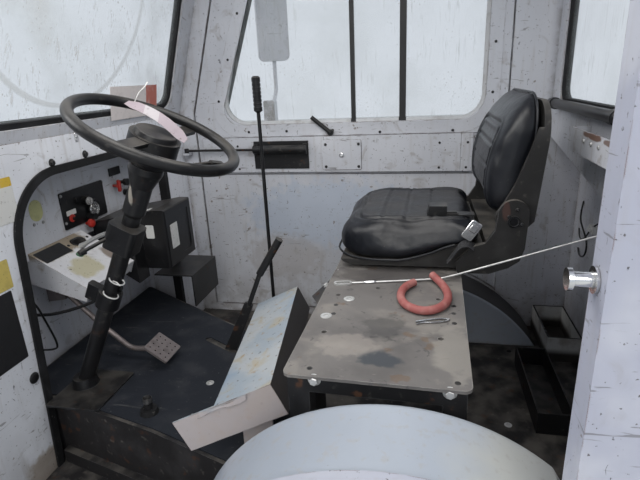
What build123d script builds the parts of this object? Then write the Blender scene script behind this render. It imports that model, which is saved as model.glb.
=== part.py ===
from build123d import *
from math import acos, cos, radians, sin, sqrt, tan
import os

os.makedirs("parts", exist_ok=True)

# Driver's cab of a baggage tractor, in millimetres.
# The front of the vehicle is -X, its left side is -Y, and Z is up.
# The origin lies on the underside of the sills, midway between the four chassis bolts.

# Cab shell
HALF_INSIDE = 690
SIDE_WALL = 45
HALF_OUTSIDE = HALF_INSIDE + SIDE_WALL
FRONT_X = -710
FRONT_WALL = 25
REAR_X = 710
REAR_WALL = 30
REAR_WALL_FOOT = 745
REAR_WALL_FOOT_RIGHT = 830
REAR_WALL_FOOT_TURN = 120
SILL_HEIGHT = 56
FLOOR_SHEET = 4
FLOOR_Z = SILL_HEIGHT + FLOOR_SHEET
BELT_Z = 940
ROOF_Z = 1600
ROOF_RISE = 58
ROOF_EDGE = 30
ROOF_EAVES = 10
RAKE = 16.5
RAIL_WIDTH = 50
RAIL_Y = 480
SEAT_GAP = 0.3

# Nose and locker that close the footwell and the rear of the cab
NOSE_X = -845
NOSE_WALL = 15
NOSE_LEFT = -295
NOSE_RIGHT = 530
NOSE_TOP = 935
NOSE_DROP = 30
LOCKER_X = 830
LOCKER_WALL = 30
LOCKER_SKIN = 15
LOCKER_FRONT_TOP = 850
LOCKER_REAR_TOP = 795

# Chassis bolts through the two main rails
BOLT_SPACING_X = 1200
BOLT_RADIUS = 9

# Wheel arches: the left one tall, the right one low with a long slope behind its crown
ARCH_X = 235
ARCH_Z = 167
ARCH_RADIUS = 380
ARCH_SKIN = 4
ARCH_INNER = 530
ARCH_EDGE = 18
ARCH_FLAT = 25
ARCH_FLAT_ANGLE = 29.3
ARCH_GAP = 0.3
LOW_ARCH_TOP = 312
LOW_ARCH_FRONT = 396
LOW_ARCH_REAR = 546
LOW_ARCH_EDGE = 6

# Doors, hinged at the front
DOOR_FRONT = -650
DOOR_FOOT = 90
DOOR_TOP = ROOF_Z - 60
DOOR_REAR = {"right": 567, "left": 446}
DOOR_GAP = 6
DOOR_INNER = HALF_INSIDE + 5
DOOR_THICK = 35
DOOR_ARCH_LAP = 6
DOOR_OPEN = 97
WINDOW_SILL = 890
WINDOW_HEAD = DOOR_TOP - 65
WINDOW_FRONT = 118
WINDOW_REAR = 80
WINDOW_RADIUS = 90
SASH_WIDTH = 12
SASH_THICK = 16
GLASS_THICK = 5
HINGE_X = -652
HINGE_Y = HALF_OUTSIDE + 9
HINGE_RADIUS = 8
HINGE_GAP = 0.4
STRIKER_Z = 851
STRIKER_Y = HALF_INSIDE + 16
STRIKER_LENGTH = 28
STRIKER_RADIUS = 8

# Raised driving platform
PLATFORM_Z = 256
PLATFORM_SHEET = 5
MAT = 4
MAT_Z = PLATFORM_Z + MAT

# Seat deck
DECK_Z = 560
DECK_PLATE = 6
DECK_FRONT = 30
DECK_REAR = 360
DECK_LEFT = -493
DECK_RIGHT = 508
DECK_YAW = -1.5
DECK_RAIL = 32
DECK_LIP = 8
LEG = 40
SEAT_BOLT_X = 235
SEAT_BOLT_Y = 180
SEAT_BOLT_CENTRE = (195, -245)
SEAT_BOLT_RADIUS = 6

# Steering
COLUMN_FOOT = (-659, -190, MAT_Z)
COLUMN_TILT = 26
COLUMN_RADIUS = 21
WHEEL_AT = 775
WHEEL_RADIUS = 182
RIM_RADIUS = 13
HUB_RADIUS = 58

# Seat
SEAT_CENTRE = 240
SEAT_WIDTH = 480
RECLINER_X = 487
RECLINER_Z = 712


def across(y_high):
    """Plane for an X-Z profile; extruding it by a positive amount goes towards -Y."""
    return Plane.XZ.offset(-y_high)


def polygon(*corners):
    """Filled polygon in the sketch's own plane."""
    with BuildSketch(mode=Mode.PRIVATE) as shape:
        with BuildLine():
            Polyline(*corners, close=True)
        make_face()
    return shape.sketch_local


def tall_arch(grow, foot):
    """Filled outline of the left arch, grown from the inside of its skin."""
    radius = ARCH_RADIUS + grow
    flat = radius - ARCH_FLAT
    normal = radians(ARCH_FLAT_ANGLE)
    turn = normal + acos(flat / radius)
    spring = (ARCH_X - radius, ARCH_Z)
    rear_break = (ARCH_X + radius * cos(turn), ARCH_Z + radius * sin(turn))
    rear_foot = (ARCH_X + (flat - (foot - ARCH_Z) * sin(normal)) / cos(normal), foot)
    front_foot = (ARCH_X - radius, foot)
    with BuildSketch(mode=Mode.PRIVATE) as arch:
        with BuildLine():
            Line(front_foot, spring)
            ThreePointArc(spring, (ARCH_X, ARCH_Z + radius), rear_break)
            Polyline(rear_break, rear_foot, front_foot)
        make_face()
    return arch.sketch_local


def low_arch(grow, foot):
    """Filled outline of the right arch: two arcs that meet level at its crown."""
    crown = (ARCH_X, LOW_ARCH_TOP + grow)
    ends = []
    for towards, inner_radius in ((-1, LOW_ARCH_FRONT), (1, LOW_ARCH_REAR)):
        radius = inner_radius + grow
        rise = foot - LOW_ARCH_TOP + inner_radius
        half = acos(rise / radius) / 2
        middle = (ARCH_X + towards * radius * sin(half), foot - rise + radius * cos(half))
        ends.append((middle, (ARCH_X + towards * sqrt(radius**2 - rise**2), foot)))
    (front_middle, front_foot), (rear_middle, rear_foot) = ends
    with BuildSketch(mode=Mode.PRIVATE) as arch:
        with BuildLine():
            ThreePointArc(front_foot, front_middle, crown)
            ThreePointArc(crown, rear_middle, rear_foot)
            Line(rear_foot, front_foot)
        make_face()
    return arch.sketch_local


ARCHES = {"right": low_arch, "left": tall_arch}


def rake_x(x_at_belt, z, belt=BELT_Z):
    """X of a raked front line at height z."""
    return x_at_belt + (z - belt) * tan(radians(RAKE))


# Underframe: two main rails, side sills and cross members in one welded frame
rail_in = RAIL_Y - RAIL_WIDTH / 2
rail_out = RAIL_Y + RAIL_WIDTH / 2
front_end = FRONT_X - FRONT_WALL
nose_end = NOSE_X - NOSE_WALL
locker_end = LOCKER_X + LOCKER_WALL
mid_cross = ARCH_X - ARCH_RADIUS - ARCH_SKIN - RAIL_WIDTH
rear_cross = REAR_X
seat_cross = DECK_REAR - LEG

# Columns: x low, x high, y low, y high
frame_bars = [
    (nose_end, locker_end, rail_in, rail_out),
    (nose_end, locker_end, -rail_out, -rail_in),
    (nose_end, nose_end + RAIL_WIDTH, -rail_out, rail_out),
    (front_end, front_end + RAIL_WIDTH, -HALF_OUTSIDE, HALF_OUTSIDE),
    (mid_cross, mid_cross + RAIL_WIDTH, -HALF_OUTSIDE, HALF_OUTSIDE),
    (seat_cross, seat_cross + RAIL_WIDTH, -rail_out, rail_out),
    (rear_cross, rear_cross + RAIL_WIDTH, -HALF_OUTSIDE, HALF_OUTSIDE),
    (locker_end - RAIL_WIDTH, locker_end, -HALF_OUTSIDE, HALF_OUTSIDE),
    (front_end, mid_cross + RAIL_WIDTH, HALF_OUTSIDE - RAIL_WIDTH, HALF_OUTSIDE),
    (front_end, mid_cross + RAIL_WIDTH, -HALF_OUTSIDE, RAIL_WIDTH - HALF_OUTSIDE),
]
with BuildPart() as underframe:
    with BuildSketch():
        for x_low, x_high, y_low, y_high in frame_bars:
            with Locations(((x_low + x_high) / 2, (y_low + y_high) / 2)):
                Rectangle(x_high - x_low, y_high - y_low)
        with GridLocations(BOLT_SPACING_X, 2 * RAIL_Y, 2, 2):
            Circle(BOLT_RADIUS, mode=Mode.SUBTRACT)
    extrude(amount=SILL_HEIGHT)

# Floor pan, cut away over the wheels
with BuildPart() as floor_pan:
    with BuildSketch(Plane.XY.offset(SILL_HEIGHT)):
        with Locations(((front_end + locker_end) / 2, 0)):
            Rectangle(locker_end - front_end, 2 * HALF_INSIDE)
        for side, towards in (("right", 1), ("left", -1)):
            bay = ARCHES[side](0, FLOOR_Z).bounding_box()
            with Locations((bay.center().X, towards * (ARCH_INNER + HALF_INSIDE) / 2)):
                Rectangle(bay.size.X, HALF_INSIDE - ARCH_INNER, mode=Mode.SUBTRACT)
        with GridLocations(BOLT_SPACING_X, 2 * RAIL_Y, 2, 2):
            Circle(BOLT_RADIUS, mode=Mode.SUBTRACT)
    extrude(amount=FLOOR_SHEET)

# Wheel arches: a pressed dome with a rolled inner edge on each side, open to the wheel
def arch_body(side, grow, edge_radius):
    """Filled dome on the right-hand side, grown from the inside of its skin."""
    with BuildPart() as dome:
        with BuildSketch(across(HALF_OUTSIDE)):
            add(ARCHES[side](grow, FLOOR_Z))
        extrude(amount=HALF_OUTSIDE - ARCH_INNER + grow)
        fillet(edges().group_by(Axis.Y)[0].sort_by(Axis.Z)[1:], edge_radius + grow)
    return dome.part


right_dome = arch_body("right", ARCH_SKIN, LOW_ARCH_EDGE) - arch_body("right", 0, LOW_ARCH_EDGE)
left_dome = arch_body("left", ARCH_SKIN, ARCH_EDGE) - arch_body("left", 0, ARCH_EDGE)
with BuildPart() as wheel_arch_right:
    add(right_dome)
with BuildPart() as wheel_arch_left:
    mirror(left_dome, about=Plane.XZ)


def door_face(side, inset):
    """Filled outline of a door opening, drawn in by the inset and cut back over the arch."""
    front = DOOR_FRONT + inset
    rear = DOOR_REAR[side] - inset
    top = DOOR_TOP - inset
    foot = DOOR_FOOT + inset
    with BuildSketch(mode=Mode.PRIVATE) as door:
        add(polygon((front, foot), (front, BELT_Z), (rake_x(front, top), top), (rear, top), (rear, foot)))
        add(ARCHES[side](ARCH_SKIN + DOOR_ARCH_LAP + inset, 0), mode=Mode.SUBTRACT)
    return door.sketch_local


# Side frames: pillars, header and sill round the door opening, standing over the wheel arch
CHECK_X = -686
CHECK_Z = 795
CHECK_EYE = 9
CHECK_Y = HALF_INSIDE - 28
CHECK_PLATE = 8
HINGE_HEIGHTS = (330, 870)
HINGE_KNUCKLE = 60
HINGE_LEAF = 55
HINGE_SHEET = 4
SCREEN_THICK = 34


def hinge_ear(towards, leaf_back):
    """Hinge eye with its leaf on an outer skin; towards is -1 on the pillar and 1 on the door."""
    with BuildSketch(mode=Mode.PRIVATE) as ear:
        with Locations((HINGE_X, HINGE_Y)):
            Circle(HINGE_RADIUS)
        leaf_end = HINGE_X + towards * HINGE_LEAF
        add(
            polygon(
                (HINGE_X, HINGE_Y + HINGE_RADIUS),
                (leaf_end, leaf_back + HINGE_SHEET),
                (leaf_end, leaf_back),
                (HINGE_X + towards * HINGE_SHEET, leaf_back),
                (HINGE_X, HINGE_Y),
            )
        )
    return ear.sketch_local


def side_frame(side):
    with BuildPart() as frame:
        with BuildSketch(across(HALF_OUTSIDE)):
            add(
                polygon(
                    (front_end, SILL_HEIGHT),
                    (front_end, BELT_Z),
                    (rake_x(FRONT_X - SCREEN_THICK, ROOF_Z), ROOF_Z),
                    (REAR_X + REAR_WALL, ROOF_Z),
                    (REAR_X + REAR_WALL, SILL_HEIGHT),
                )
            )
            add(ARCHES[side](ARCH_SKIN + ARCH_GAP, 0), mode=Mode.SUBTRACT)
            add(door_face(side, 0), mode=Mode.SUBTRACT)
        extrude(amount=SIDE_WALL)
        # Ears of the two door hinges, above and below the door's own knuckle
        for height in HINGE_HEIGHTS:
            for ear_foot in (height - HINGE_KNUCKLE, height + HINGE_KNUCKLE / 2):
                with BuildSketch(Plane.XY.offset(ear_foot)):
                    add(hinge_ear(-1, HALF_OUTSIDE))
                extrude(amount=HINGE_KNUCKLE / 2)
        # Bracket that the door check's rod ends over
        with BuildSketch(across(HALF_INSIDE)):
            with Locations((CHECK_X, CHECK_Z - CHECK_EYE - CHECK_PLATE / 2 - SEAT_GAP)):
                Rectangle(3 * CHECK_EYE, CHECK_PLATE)
        extrude(amount=HALF_INSIDE - CHECK_Y + CHECK_EYE)
    return frame


side_frame_right = side_frame("right")
left_frame = side_frame("left")
with BuildPart() as side_frame_left:
    mirror(left_frame.part, about=Plane.XZ)

# Front bulkhead with the tall footwell opening, and its rubber edge
OPENING_TOP = 850
OPENING_LEFT_TOP = -228
OPENING_LEFT_FOOT = -284
OPENING_RIGHT = 500
OPENING_RADIUS = 170
OPENING_RADIUS_RIGHT = 40
TRIM_IN = 8
TRIM_OUT = 14
TRIM_PROUD = 6


def footwell_face(grow):
    """Filled outline of the footwell opening in the Y-Z plane, grown by an amount."""
    with BuildSketch(mode=Mode.PRIVATE) as hole:
        add(
            polygon(
                (OPENING_LEFT_FOOT - grow, FLOOR_Z),
                (OPENING_LEFT_TOP - grow, OPENING_TOP + grow),
                (OPENING_RIGHT + grow, OPENING_TOP + grow),
                (OPENING_RIGHT + grow, FLOOR_Z),
            )
        )
        fillet(hole.vertices().group_by(Axis.Y)[-1].sort_by(Axis.X)[0], OPENING_RADIUS + grow)
        right_corner = hole.vertices().group_by(Axis.Y)[-1].sort_by(Axis.X)[-1]
        fillet(right_corner, OPENING_RADIUS_RIGHT + grow)
    return hole.sketch_local


with BuildPart() as front_bulkhead:
    with BuildSketch(Plane.YZ.offset(front_end)):
        with Locations((0, (FLOOR_Z + BELT_Z) / 2)):
            Rectangle(2 * HALF_INSIDE, BELT_Z - FLOOR_Z)
        add(footwell_face(0), mode=Mode.SUBTRACT)
    extrude(amount=FRONT_WALL)

with BuildPart() as footwell_trim:
    with BuildSketch(Plane.YZ.offset(front_end)):
        add(footwell_face(0))
        add(footwell_face(-TRIM_IN), mode=Mode.SUBTRACT)
    extrude(amount=FRONT_WALL)
    with BuildSketch(Plane.YZ.offset(FRONT_X)):
        add(footwell_face(TRIM_OUT))
        add(footwell_face(-TRIM_IN), mode=Mode.SUBTRACT)
    extrude(amount=TRIM_PROUD)

# Nose shell round the footwell: sides, front and sloping cowl in one folded skin
with BuildPart() as nose_shell:
    with BuildSketch(across(NOSE_RIGHT + NOSE_WALL)):
        add(
            polygon(
                (front_end, SILL_HEIGHT),
                (nose_end, SILL_HEIGHT),
                (nose_end, NOSE_TOP - NOSE_DROP),
                (front_end, NOSE_TOP),
            )
        )
    extrude(amount=NOSE_RIGHT - NOSE_LEFT + 2 * NOSE_WALL)
    cowl_edge = edges().filter_by(Axis.Y).group_by(Axis.X)[0].sort_by(Axis.Z)[-1]
    fillet(cowl_edge, 3 * NOSE_WALL)
    with BuildSketch(across(NOSE_RIGHT)):
        add(
            polygon(
                (front_end, FLOOR_Z),
                (NOSE_X, FLOOR_Z),
                (NOSE_X, NOSE_TOP - NOSE_DROP - NOSE_WALL),
                (front_end, NOSE_TOP - NOSE_WALL),
            )
        )
    extrude(amount=NOSE_RIGHT - NOSE_LEFT, mode=Mode.SUBTRACT)

# Windscreen: raked frame, rubber seal and glass
SCREEN_HALF = 600
SCREEN_FOOT = 32
SCREEN_RADIUS = 55
SCREEN_SEAL = 15
SEAL_THICK = 22
SCREEN_TOP = (ROOF_Z - BELT_Z) / cos(radians(RAKE)) - 60
screen_plane = Plane(
    origin=(FRONT_X, 0, BELT_Z),
    x_dir=(0, 1, 0),
    z_dir=(cos(radians(RAKE)), 0, -sin(radians(RAKE))),
)


def screen_face(inset, mode=Mode.ADD):
    height = SCREEN_TOP - SCREEN_FOOT - 2 * inset
    with Locations((0, (SCREEN_FOOT + SCREEN_TOP) / 2)):
        RectangleRounded(2 * (SCREEN_HALF - inset), height, SCREEN_RADIUS - inset, mode=mode)


screen_depth = SCREEN_THICK / cos(radians(RAKE))
with BuildPart() as windscreen_frame:
    with BuildSketch(across(HALF_INSIDE)):
        add(
            polygon(
                (FRONT_X, BELT_Z),
                (rake_x(FRONT_X, ROOF_Z), ROOF_Z),
                (rake_x(FRONT_X, ROOF_Z) - screen_depth, ROOF_Z),
                (FRONT_X - screen_depth, BELT_Z),
            )
        )
    extrude(amount=2 * HALF_INSIDE)
    with BuildSketch(screen_plane.offset(SCREEN_THICK)):
        screen_face(0)
    extrude(amount=-3 * SCREEN_THICK, mode=Mode.SUBTRACT)

seal_back = -(SCREEN_THICK - SEAL_THICK) / 2
with BuildPart() as window_seals:
    with BuildSketch(screen_plane.offset(seal_back)):
        screen_face(0)
        screen_face(SCREEN_SEAL, Mode.SUBTRACT)
    extrude(amount=-SEAL_THICK)

with BuildPart() as windscreen_glass:
    with BuildSketch(screen_plane.offset(-(SCREEN_THICK - GLASS_THICK) / 2)):
        screen_face(SCREEN_SEAL)
    extrude(amount=-GLASS_THICK)

# Rear wall with its window
REAR_WINDOW_HALF = 600
REAR_WINDOW_FOOT = 945
REAR_WINDOW_TOP = ROOF_Z - 100
REAR_WINDOW_RADIUS = 60
REAR_SEAL = 15


def rear_window_face(inset, mode=Mode.ADD):
    height = REAR_WINDOW_TOP - REAR_WINDOW_FOOT - 2 * inset
    with Locations((0, (REAR_WINDOW_TOP + REAR_WINDOW_FOOT) / 2)):
        RectangleRounded(2 * (REAR_WINDOW_HALF - inset), height, REAR_WINDOW_RADIUS - inset, mode=mode)


with BuildPart() as rear_wall:
    with BuildSketch(Plane.YZ.offset(REAR_X)):
        add(
            polygon(
                (-HALF_INSIDE, REAR_WALL_FOOT),
                (REAR_WALL_FOOT_TURN, REAR_WALL_FOOT),
                (HALF_INSIDE, REAR_WALL_FOOT_RIGHT),
                (HALF_INSIDE, ROOF_Z),
                (-HALF_INSIDE, ROOF_Z),
            )
        )
        rear_window_face(0, Mode.SUBTRACT)
    extrude(amount=REAR_WALL)

with window_seals:
    with BuildSketch(Plane.YZ.offset(REAR_X + (REAR_WALL - SEAL_THICK) / 2)):
        rear_window_face(0)
        rear_window_face(REAR_SEAL, Mode.SUBTRACT)
    extrude(amount=SEAL_THICK)

with BuildPart() as rear_glass:
    with BuildSketch(Plane.YZ.offset(REAR_X + (REAR_WALL - GLASS_THICK) / 2)):
        rear_window_face(REAR_SEAL)
    extrude(amount=GLASS_THICK)

# Locker behind the rear wall, open to the cab below it
with BuildPart() as rear_locker:
    with BuildSketch(across(HALF_OUTSIDE)):
        add(
            polygon(
                (REAR_X + REAR_WALL, FLOOR_Z),
                (locker_end, FLOOR_Z),
                (locker_end, LOCKER_REAR_TOP),
                (REAR_X + REAR_WALL, LOCKER_FRONT_TOP),
            )
        )
    extrude(amount=2 * HALF_OUTSIDE)
    with BuildSketch(across(HALF_INSIDE)):
        add(
            polygon(
                (REAR_X + REAR_WALL, FLOOR_Z),
                (LOCKER_X, FLOOR_Z),
                (LOCKER_X, LOCKER_REAR_TOP - LOCKER_SKIN),
                (REAR_X + REAR_WALL, LOCKER_FRONT_TOP - LOCKER_SKIN),
            )
        )
    extrude(amount=2 * HALF_INSIDE, mode=Mode.SUBTRACT)
    # Side skins reach down to the sills outside the floor pan
    skin_x = (REAR_X + REAR_WALL + locker_end) / 2
    for side in (-1, 1):
        with BuildSketch(Plane.XY.offset(SILL_HEIGHT)):
            with Locations((skin_x, side * (HALF_INSIDE + HALF_OUTSIDE) / 2)):
                Rectangle(locker_end - REAR_X - REAR_WALL, SIDE_WALL)
        extrude(amount=FLOOR_SHEET)

# Blind roller along the foot of the rear window
LEDGE_FOOT = 842
LEDGE_TOP = LEDGE_FOOT + 62
ROLLER_RADIUS = 15
ROLLER_X = REAR_X - 26
ROLLER_Z = LEDGE_TOP + 42
ROLLER_HALF = 590
ROLLER_CLIP = 12
with BuildPart() as window_roller:
    with BuildSketch(across(ROLLER_HALF)):
        with Locations((ROLLER_X, ROLLER_Z)):
            Circle(ROLLER_RADIUS)
    extrude(amount=2 * ROLLER_HALF)
    for y_clip in (-ROLLER_HALF + 40, 0, ROLLER_HALF - 40):
        with BuildSketch(across(y_clip + ROLLER_CLIP)):
            with Locations((ROLLER_X, ROLLER_Z)):
                Circle(ROLLER_RADIUS + 3)
            with Locations(((ROLLER_X + REAR_X) / 2, ROLLER_Z - ROLLER_RADIUS)):
                Rectangle(REAR_X - ROLLER_X, 8)
        extrude(amount=2 * ROLLER_CLIP)

# Folded box on the rear wall under the window
LEDGE_DEPTH = 50
LEDGE_LEFT = -300
LEDGE_RIGHT = 240
LEDGE_SHEET = 4
with BuildPart() as rear_ledge:
    with BuildSketch(across(LEDGE_RIGHT)):
        with Locations((REAR_X - LEDGE_DEPTH / 2, (LEDGE_FOOT + LEDGE_TOP) / 2)):
            Rectangle(LEDGE_DEPTH, LEDGE_TOP - LEDGE_FOOT)
    extrude(amount=LEDGE_RIGHT - LEDGE_LEFT)
    front_corners = edges().filter_by(Axis.Z).group_by(Axis.X)[0]
    fillet(front_corners, 8)
    with BuildSketch(across(LEDGE_RIGHT - LEDGE_SHEET)):
        with Locations((REAR_X - LEDGE_DEPTH / 2 + LEDGE_SHEET, LEDGE_TOP)):
            Rectangle(LEDGE_DEPTH, 2 * (LEDGE_TOP - LEDGE_FOOT - LEDGE_SHEET))
    extrude(amount=LEDGE_RIGHT - LEDGE_LEFT - 2 * LEDGE_SHEET, mode=Mode.SUBTRACT)

# Roof: crowned panel with rolled edges
roof_front = rake_x(FRONT_X, ROOF_Z) - screen_depth - ROOF_EAVES
roof_rear = REAR_X + REAR_WALL + ROOF_EAVES
roof_half = HALF_OUTSIDE + ROOF_EAVES
with BuildPart() as roof:
    with BuildSketch(Plane.YZ.offset(roof_front)):
        with BuildLine():
            Polyline(
                (-roof_half, ROOF_Z + ROOF_EDGE),
                (-roof_half, ROOF_Z),
                (roof_half, ROOF_Z),
                (roof_half, ROOF_Z + ROOF_EDGE),
            )
            ThreePointArc(
                (roof_half, ROOF_Z + ROOF_EDGE),
                (0, ROOF_Z + ROOF_RISE),
                (-roof_half, ROOF_Z + ROOF_EDGE),
            )
        make_face()
    extrude(amount=roof_rear - roof_front)
    fillet(edges().filter_by(Axis.Z), 40)
    fillet(edges().group_by(Axis.Z)[-1] + edges().group_by(Axis.Z)[-2], 12)

# Raised platform: folded sheet on the floor pan, with a kick rail along its left foot
# Columns: x, y, in order round the plan
platform_plan = [
    (NOSE_X + SEAT_GAP, -262),
    (FRONT_X, -252),
    (-369, -338),
    (-104, -426),
    (0, -450),
    (0, 0),
    (-367, 211),
    (-832, 481),
    (NOSE_X + SEAT_GAP, 481),
]
KICK_DEPTH = 20
KICK_HEIGHT = 40
KICK_FRONT = (-698, -255)
with BuildPart() as platform:
    with BuildSketch(Plane.XY.offset(FLOOR_Z)):
        add(polygon(*platform_plan))
    extrude(amount=PLATFORM_Z - FLOOR_Z)
    with BuildSketch(Plane.XY.offset(FLOOR_Z)):
        add(polygon(*platform_plan))
        offset(amount=-PLATFORM_SHEET, mode=Mode.REPLACE)
    extrude(amount=PLATFORM_Z - FLOOR_Z - PLATFORM_SHEET, mode=Mode.SUBTRACT)
    kick_line = [KICK_FRONT, *platform_plan[2:5]]
    kick_back = [(x, y - KICK_DEPTH) for x, y in reversed(kick_line)]
    with BuildSketch(Plane.XY.offset(FLOOR_Z)):
        add(polygon(*kick_line, *kick_back))
    extrude(amount=KICK_HEIGHT)

MAT_INSET = 9
SLOT_CENTRE = (-350, 66)
SLOT_LENGTH = 150
SLOT_WIDTH = 22
SLOT_ANGLE = -29
with BuildPart() as floor_mat:
    with BuildSketch(Plane.XY.offset(PLATFORM_Z)):
        add(polygon(*platform_plan))
        offset(amount=-MAT_INSET, mode=Mode.REPLACE)
        with Locations(Location((*SLOT_CENTRE, 0), (0, 0, SLOT_ANGLE))):
            SlotOverall(SLOT_LENGTH, SLOT_WIDTH, mode=Mode.SUBTRACT)
    extrude(amount=MAT)

# Foot switch on the mat
DIMMER_AT = (-406, -275)
with BuildPart() as foot_switch:
    with BuildSketch(Plane.XY.offset(MAT_Z)):
        with Locations(DIMMER_AT):
            Circle(24)
    extrude(amount=12, taper=15)
    with BuildSketch(Plane.XY.offset(MAT_Z + 12)):
        with Locations(DIMMER_AT):
            Circle(10)
    extrude(amount=16)

# Steering column: base plate with its boss, and the tube with its flared shroud and stalk
slope = radians(COLUMN_TILT)
column_plane = Plane(
    origin=COLUMN_FOOT,
    x_dir=(cos(slope), 0, -sin(slope)),
    z_dir=(sin(slope), 0, cos(slope)),
)
column_axis = Axis(column_plane.origin, column_plane.z_dir)
column_profile = Plane(origin=COLUMN_FOOT, x_dir=column_plane.x_dir, z_dir=-column_plane.y_dir)
BASE_PLATE = 5
BASE_LENGTH = 156
BASE_WIDTH = 176
BASE_CENTRE = (-622, -208)
BOSS_RADIUS = 36
BOSS_HEIGHT = 26
SHROUD_FOOT = 560
SHROUD_RADIUS = 27
FLARE_FOOT = 640
FLARE_TOP = 696
FLARE_RADIUS = 40
SHAFT_RADIUS = 9
SHAFT_TOP = 736
STALK_ANGLE = 58
STALK_RADIUS = 4
STALK_RISE = 0.22
STALK_START = 30
STALK_END = 170
PADDLE = 44
with BuildPart() as steering_column:
    with BuildSketch(Plane.XY.offset(MAT_Z)):
        with Locations(BASE_CENTRE):
            RectangleRounded(BASE_LENGTH, BASE_WIDTH, 6)
    extrude(amount=BASE_PLATE)
    with BuildSketch(Plane.XY.offset(MAT_Z + BASE_PLATE)):
        with Locations((COLUMN_FOOT[0] + 6, COLUMN_FOOT[1])):
            Circle(BOSS_RADIUS)
    extrude(amount=BOSS_HEIGHT, taper=12)
    with BuildSketch(column_profile):
        add(
            polygon(
                (0, BOSS_HEIGHT),
                (COLUMN_RADIUS, BOSS_HEIGHT),
                (COLUMN_RADIUS, SHROUD_FOOT),
                (SHROUD_RADIUS, SHROUD_FOOT + 10),
                (SHROUD_RADIUS, FLARE_FOOT),
                (FLARE_RADIUS, FLARE_TOP - 16),
                (FLARE_RADIUS, FLARE_TOP),
                (SHAFT_RADIUS, FLARE_TOP),
                (SHAFT_RADIUS, SHAFT_TOP),
                (0, SHAFT_TOP),
            )
        )
    revolve(axis=column_axis)
    stalk_turn = radians(STALK_ANGLE)
    stalk_out = column_plane.x_dir * cos(stalk_turn) + column_plane.y_dir * sin(stalk_turn)
    stalk_side = column_plane.x_dir * sin(stalk_turn) - column_plane.y_dir * cos(stalk_turn)
    stalk_line = Plane(origin=COLUMN_FOOT, x_dir=stalk_out, z_dir=stalk_side)
    stalk_foot = FLARE_TOP - 12
    stalk_top = stalk_foot + (STALK_END - STALK_START) * STALK_RISE
    with BuildSketch(stalk_line.offset(-STALK_RADIUS)):
        add(
            polygon(
                (STALK_START, stalk_foot - STALK_RADIUS),
                (STALK_END, stalk_top - STALK_RADIUS),
                (STALK_END + PADDLE, stalk_top - STALK_RADIUS),
                (STALK_END + PADDLE, stalk_top + STALK_RADIUS),
                (STALK_END, stalk_top + STALK_RADIUS),
                (STALK_START, stalk_foot + STALK_RADIUS),
            )
        )
    extrude(amount=2 * STALK_RADIUS)
    with BuildSketch(stalk_line.offset(-2 * STALK_RADIUS)):
        with Locations((STALK_END + PADDLE / 2, stalk_top)):
            SlotOverall(PADDLE, 3 * STALK_RADIUS)
    extrude(amount=4 * STALK_RADIUS)

# Signal switch and hose clamp round the column
SWITCH_FOOT = 468
SWITCH_TOP = 536
SWITCH_REACH = 44
CLAMP_FOOT = 285
CLAMP_TOP = 330
CLAMP_WALL = 9
LEVER_START = (-469, -224, 715)
LEVER_TIP = (-492, -282, 703)
LEVER_RADIUS = 4.5
with BuildPart() as column_fittings:
    with BuildSketch(column_plane.offset(SWITCH_FOOT)):
        with Locations((0, -SWITCH_REACH / 4)):
            RectangleRounded(2 * COLUMN_RADIUS + 34, 2 * COLUMN_RADIUS + SWITCH_REACH / 2, 14)
        Circle(COLUMN_RADIUS + SEAT_GAP, mode=Mode.SUBTRACT)
    extrude(amount=SWITCH_TOP - SWITCH_FOOT)
    lever_run = Vector(*LEVER_TIP) - Vector(*LEVER_START)
    with BuildSketch(Plane(origin=LEVER_START, z_dir=lever_run)):
        Circle(LEVER_RADIUS)
    extrude(amount=lever_run.length)
    with BuildSketch(Plane(origin=LEVER_TIP, z_dir=lever_run)):
        Circle(2 * LEVER_RADIUS)
    extrude(amount=14, taper=10)
    with BuildSketch(column_plane.offset(CLAMP_FOOT)):
        Circle(COLUMN_RADIUS + CLAMP_WALL)
        with Locations((-COLUMN_RADIUS - CLAMP_WALL - 12, 0)):
            RectangleRounded(40, 22, 5)
        Circle(COLUMN_RADIUS + SEAT_GAP, mode=Mode.SUBTRACT)
    extrude(amount=CLAMP_TOP - CLAMP_FOOT)

# Steering wheel: drum hub, two spokes and a round rim
HUB_FOOT = 701
HUB_RIM = 12
HUB_TOP = 768
SPOKE_WIDTH = 34
SPOKE_THICK = 9
SPOKE_FOOT = WHEEL_AT - RIM_RADIUS - 5
SPOKE_ANGLES = (90, 270)
with BuildPart() as steering_wheel:
    with BuildSketch(column_profile):
        add(
            polygon(
                (SHAFT_RADIUS + SEAT_GAP, HUB_FOOT),
                (HUB_RADIUS - HUB_RIM, HUB_FOOT),
                (HUB_RADIUS, HUB_FOOT + HUB_RIM),
                (HUB_RADIUS, HUB_TOP),
                (0, HUB_TOP),
                (0, SHAFT_TOP + SEAT_GAP),
                (SHAFT_RADIUS + SEAT_GAP, SHAFT_TOP + SEAT_GAP),
            )
        )
    revolve(axis=column_axis)
    with BuildSketch(column_profile):
        with Locations((WHEEL_RADIUS, WHEEL_AT)):
            Circle(RIM_RADIUS)
    revolve(axis=column_axis)
    with BuildSketch(column_plane.offset(SPOKE_FOOT)):
        for angle in SPOKE_ANGLES:
            spoke_end = WHEEL_RADIUS - RIM_RADIUS / 2
            spoke_middle = (HUB_RADIUS + spoke_end) / 2 - 2
            spoke_x = spoke_middle * cos(radians(angle))
            spoke_y = spoke_middle * sin(radians(angle))
            with Locations(Location((spoke_x, spoke_y, 0), (0, 0, angle))):
                Rectangle(spoke_end - HUB_RADIUS + 4, SPOKE_WIDTH)
    extrude(amount=SPOKE_THICK)

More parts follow.
